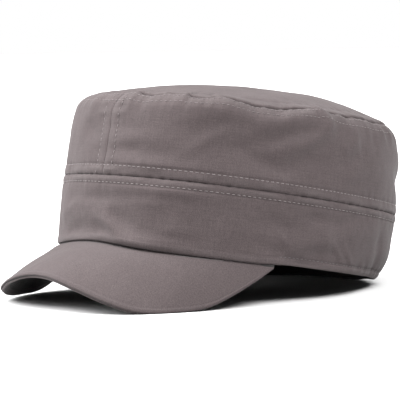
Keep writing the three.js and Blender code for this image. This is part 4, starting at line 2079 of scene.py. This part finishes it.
        # The turned edge shows the upper cloth's colour; inside it the underside takes its painted shade
        turned = 1 - smoothstep((1 - out) * self.span(across), *self.turned_edge)
        shell = Shell(outer, inner, cloth, turned, under_wear_and_shade=1.0, bulges=self.edge_bulges)
        return shell.build(name)

    def build(self) -> tuple[bpy.types.Object, bpy.types.Object]:
        """Makes both covers.

        Returns:
            The upper and the lower cover.
        """
        upper = self.cover("peak_cover_cloth", 0.0, 1)
        lower = self.cover("peak_underside_cloth", self.cover_cloth + self.seam_gap, -1)
        return upper, lower


@dataclass
class SewnRows:
    """All the rows of stitches on the crown, laid on its finished outer face."""

    cloth: CrownCloth = field(default_factory=CrownCloth)
    stitches: Stitches = Stitches()
    top_rows: tuple[float, ...] = (1.9, 5.6)
    hem_start: float = 70.0

    def round_places(self, start: float, end: float) -> Array:
        """Angles of stitches from one angle to another, evenly by outline length.

        Args:
            start: First angle.
            end: Last angle.

        Returns:
            The angles, half a stitch in from both ends.
        """
        form = self.cloth.form
        first, last = form.length_at(np.array([start, end]))
        count = int(round((last - first) / self.stitches.pitch))
        return form.angle_at(first + (np.arange(count) + 0.5) * (last - first) / count)

    @staticmethod
    def back_line(height: Array) -> Array:
        """Angle of the back seam, the same at all heights."""
        return np.full(np.shape(height), HALF_TURN)

    def level_row(self, angle: Array, height: Array) -> tuple[Array, Array, Array]:
        """A row round the wall at given heights."""
        normals = self.cloth.form.wall_normal(angle, height)
        return self.stitches.row(self.cloth.wall, angle, height, normals)

    def upright_row(self, line: LineTurn, aside: float, low: float) -> tuple[Array, Array, Array]:
        """A row up the wall beside the front or back seam.

        Args:
            line: Angle of the seam at each height.
            aside: Distance from it, in millimetres.
            low: Height of the row's lower end.

        Returns:
            The row's centres, directions and normals.
        """
        form = self.cloth.form
        end = line(np.array(form.crown_height))
        high = float(form.top_height(end)) - self.top_rows[0]
        heights = np.arange(low + self.stitches.pitch / 2, high, self.stitches.pitch)
        angles = line(heights) + aside / form.half_width
        return self.level_row(angles, heights)

    def build(self) -> list[bpy.types.Object]:
        """Makes the threads of the middle, top, front and back seams and of the hem.

        Returns:
            One object of threads for each named set of rows.
        """
        form = self.cloth.form
        whole = self.round_places(0.0, FULL_TURN)
        middle = self.cloth.mid_seam
        mid_rows = [
            self.level_row(whole, np.full(whole.shape, form.band_height + middle.above)),
            self.level_row(whole, np.full(whole.shape, form.band_height - middle.below)),
        ]
        top = form.top_height(whole)
        top_rows = [self.level_row(whole, top - depth) for depth in self.top_rows]
        width = self.cloth.end_seam.above
        above = form.band_height + middle.above
        front_rows = [
            self.upright_row(self.cloth.front.turn, -width, form.band_height),
            self.upright_row(self.cloth.front.turn, width, above),
        ]
        back_rows = [
            self.upright_row(self.back_line, -width, above),
            self.upright_row(self.back_line, width, above),
        ]
        start = np.radians(self.hem_start)
        hem = self.round_places(start, FULL_TURN - start)
        hem_rows = [self.level_row(hem, form.rim_height(hem) + self.cloth.hem_row)]
        named = {
            "mid_seam_stitches": mid_rows,
            "top_seam_stitches": top_rows,
            "front_seam_stitches": front_rows,
            "back_seam_stitches": back_rows,
            "hem_stitches": hem_rows,
        }
        return [self.stitches.build(name, rows) for name, rows in named.items()]


@dataclass(frozen=True)
class SoftLight:
    """A broad even light from one direction, like a large softbox far away."""

    name: str
    azimuth: float
    elevation: float
    strength: float
    spread: float
    colour: tuple[float, float, float] = (1.0, 1.0, 1.0)

    def make(self) -> None:
        """Makes the light."""
        lamp = bpy.data.lights.new(self.name, "SUN")
        lamp.energy = self.strength
        lamp.angle = np.radians(self.spread)
        lamp.color = self.colour
        made = bpy.data.objects.new(self.name, lamp)
        turn = np.radians(self.azimuth)
        rise = np.radians(self.elevation)
        level = np.cos(rise)
        towards = Vector((np.sin(turn) * level, -np.cos(turn) * level, np.sin(rise)))
        made.rotation_euler = towards.to_track_quat("Z", "Y").to_euler()
        bpy.context.scene.collection.objects.link(made)


@dataclass
class Studio:
    """The floor, the lights, the pale surroundings and the camera."""

    floor_radius: float = 30.0
    floor_drop: float = 0.00003
    floor_sides: int = 96
    lights: tuple[SoftLight, ...] = (
        SoftLight("key", azimuth=-45.0, elevation=50.0, strength=9.1, spread=50.0),
        SoftLight("low", azimuth=-50.0, elevation=20.0, strength=2.7, spread=36.0),
        SoftLight("side", azimuth=95.0, elevation=57.0, strength=6.6, spread=42.0),
        SoftLight("back", azimuth=180.0, elevation=50.0, strength=0.5, spread=50.0),
    )
    surroundings: float = 0.17
    azimuth: float = 0.83585573
    elevation: float = 0.06702374
    distance: float = 1.3678
    pixels: float = 2369.92696
    picture: float = 400.0
    sensor: float = 36.0
    aim: tuple[float, float, float] = (0.0, -0.00500388, 0.05345348)
    roll: float = -0.01644130

    def floor(self) -> None:
        """Makes the floor: a flat disc just under the cap."""
        turns = np.arange(self.floor_sides) * FULL_TURN / self.floor_sides
        ring = np.stack([np.cos(turns), np.sin(turns)], axis=1) * self.floor_radius
        flat = np.concatenate([ring, [[0.0, 0.0]]])
        points = np.concatenate([flat, np.full((len(flat), 1), -self.floor_drop)], axis=1)
        index = np.arange(self.floor_sides)
        middle = np.full(self.floor_sides, self.floor_sides)
        fan = np.stack([index, np.roll(index, -1), middle], axis=1)
        made = mesh_object("floor", points, (np.zeros((0, 4), int), fan))
        made.data.materials.append(FloorFinish().make())

    def surround(self) -> None:
        """Makes the world: white to look at, with only a weak light of its own."""
        world = bpy.data.worlds.new("studio")
        bpy.context.scene.world = world
        nodes = Nodes(world)
        seen = nodes.add("ShaderNodeLightPath", {}, {}, "Is Camera Ray")
        strength = seen * (1.0 - self.surroundings) + self.surroundings
        inputs = {"Color": (1.0, 1.0, 1.0, 1.0), "Strength": strength}
        light = nodes.add("ShaderNodeBackground", {}, inputs)
        nodes.add("ShaderNodeOutputWorld", {}, {"Surface": light})

    def camera(self) -> None:
        """Makes the camera at the fitted angle and distance, and its slight roll."""
        lens = bpy.data.cameras.new("view")
        lens.sensor_width = self.sensor
        lens.lens = self.pixels / self.picture * self.sensor
        made = bpy.data.objects.new("view", lens)
        level = np.cos(self.elevation)
        side = np.sin(self.azimuth)
        front = np.cos(self.azimuth)
        back = np.array([side * level, -front * level, np.sin(self.elevation)])
        right = np.array([front, side, 0.0])
        up = np.cross(right, -back)
        rolled = right * np.cos(self.roll) + up * np.sin(self.roll)
        upright = up * np.cos(self.roll) - right * np.sin(self.roll)
        place = np.array(self.aim) + back * self.distance
        columns = np.eye(4)
        columns[:3, 0] = rolled
        columns[:3, 1] = upright
        columns[:3, 2] = back
        columns[:3, 3] = place
        made.matrix_world = Matrix(columns.tolist())
        bpy.context.scene.collection.objects.link(made)
        bpy.context.scene.camera = made

    def build(self) -> None:
        """Makes everything round the cap."""
        self.camera()
        self.floor()
        self.surround()
        for light in self.lights:
            light.make()
        bpy.context.scene.view_settings.view_transform = "Standard"


def main() -> None:
    """Builds the studio, then the cap's pieces in order."""
    logging.basicConfig(level=logging.INFO)
    Studio().build()
    grey = CLOTH.make()
    peak_grey = PEAK_CLOTH.make()
    dark_and_shaded = UNDERSIDE.make()
    dress(LowerBand().build(), grey, Slot.CLOTH, "lower_band")
    dress(CrownSide(Side.LEFT).build(), grey, Slot.CLOTH, "crown_left")
    dress(CrownSide(Side.RIGHT).build(), grey, Slot.CLOTH, "crown_right")
    dress(TopPanel().build(), grey, Slot.CLOTH, "top_panel")
    upper, lower = Peak().build()
    dress(upper, peak_grey, Slot.CLOTH, "peak_cover")
    dress(lower, dark_and_shaded, Slot.UNDERSIDE, "peak_underside")
    for threads in SewnRows().build():
        dress(threads, ROW_THREADS[threads.name].make(), Slot.CLOTH)


if __name__ == "__main__":
    main()
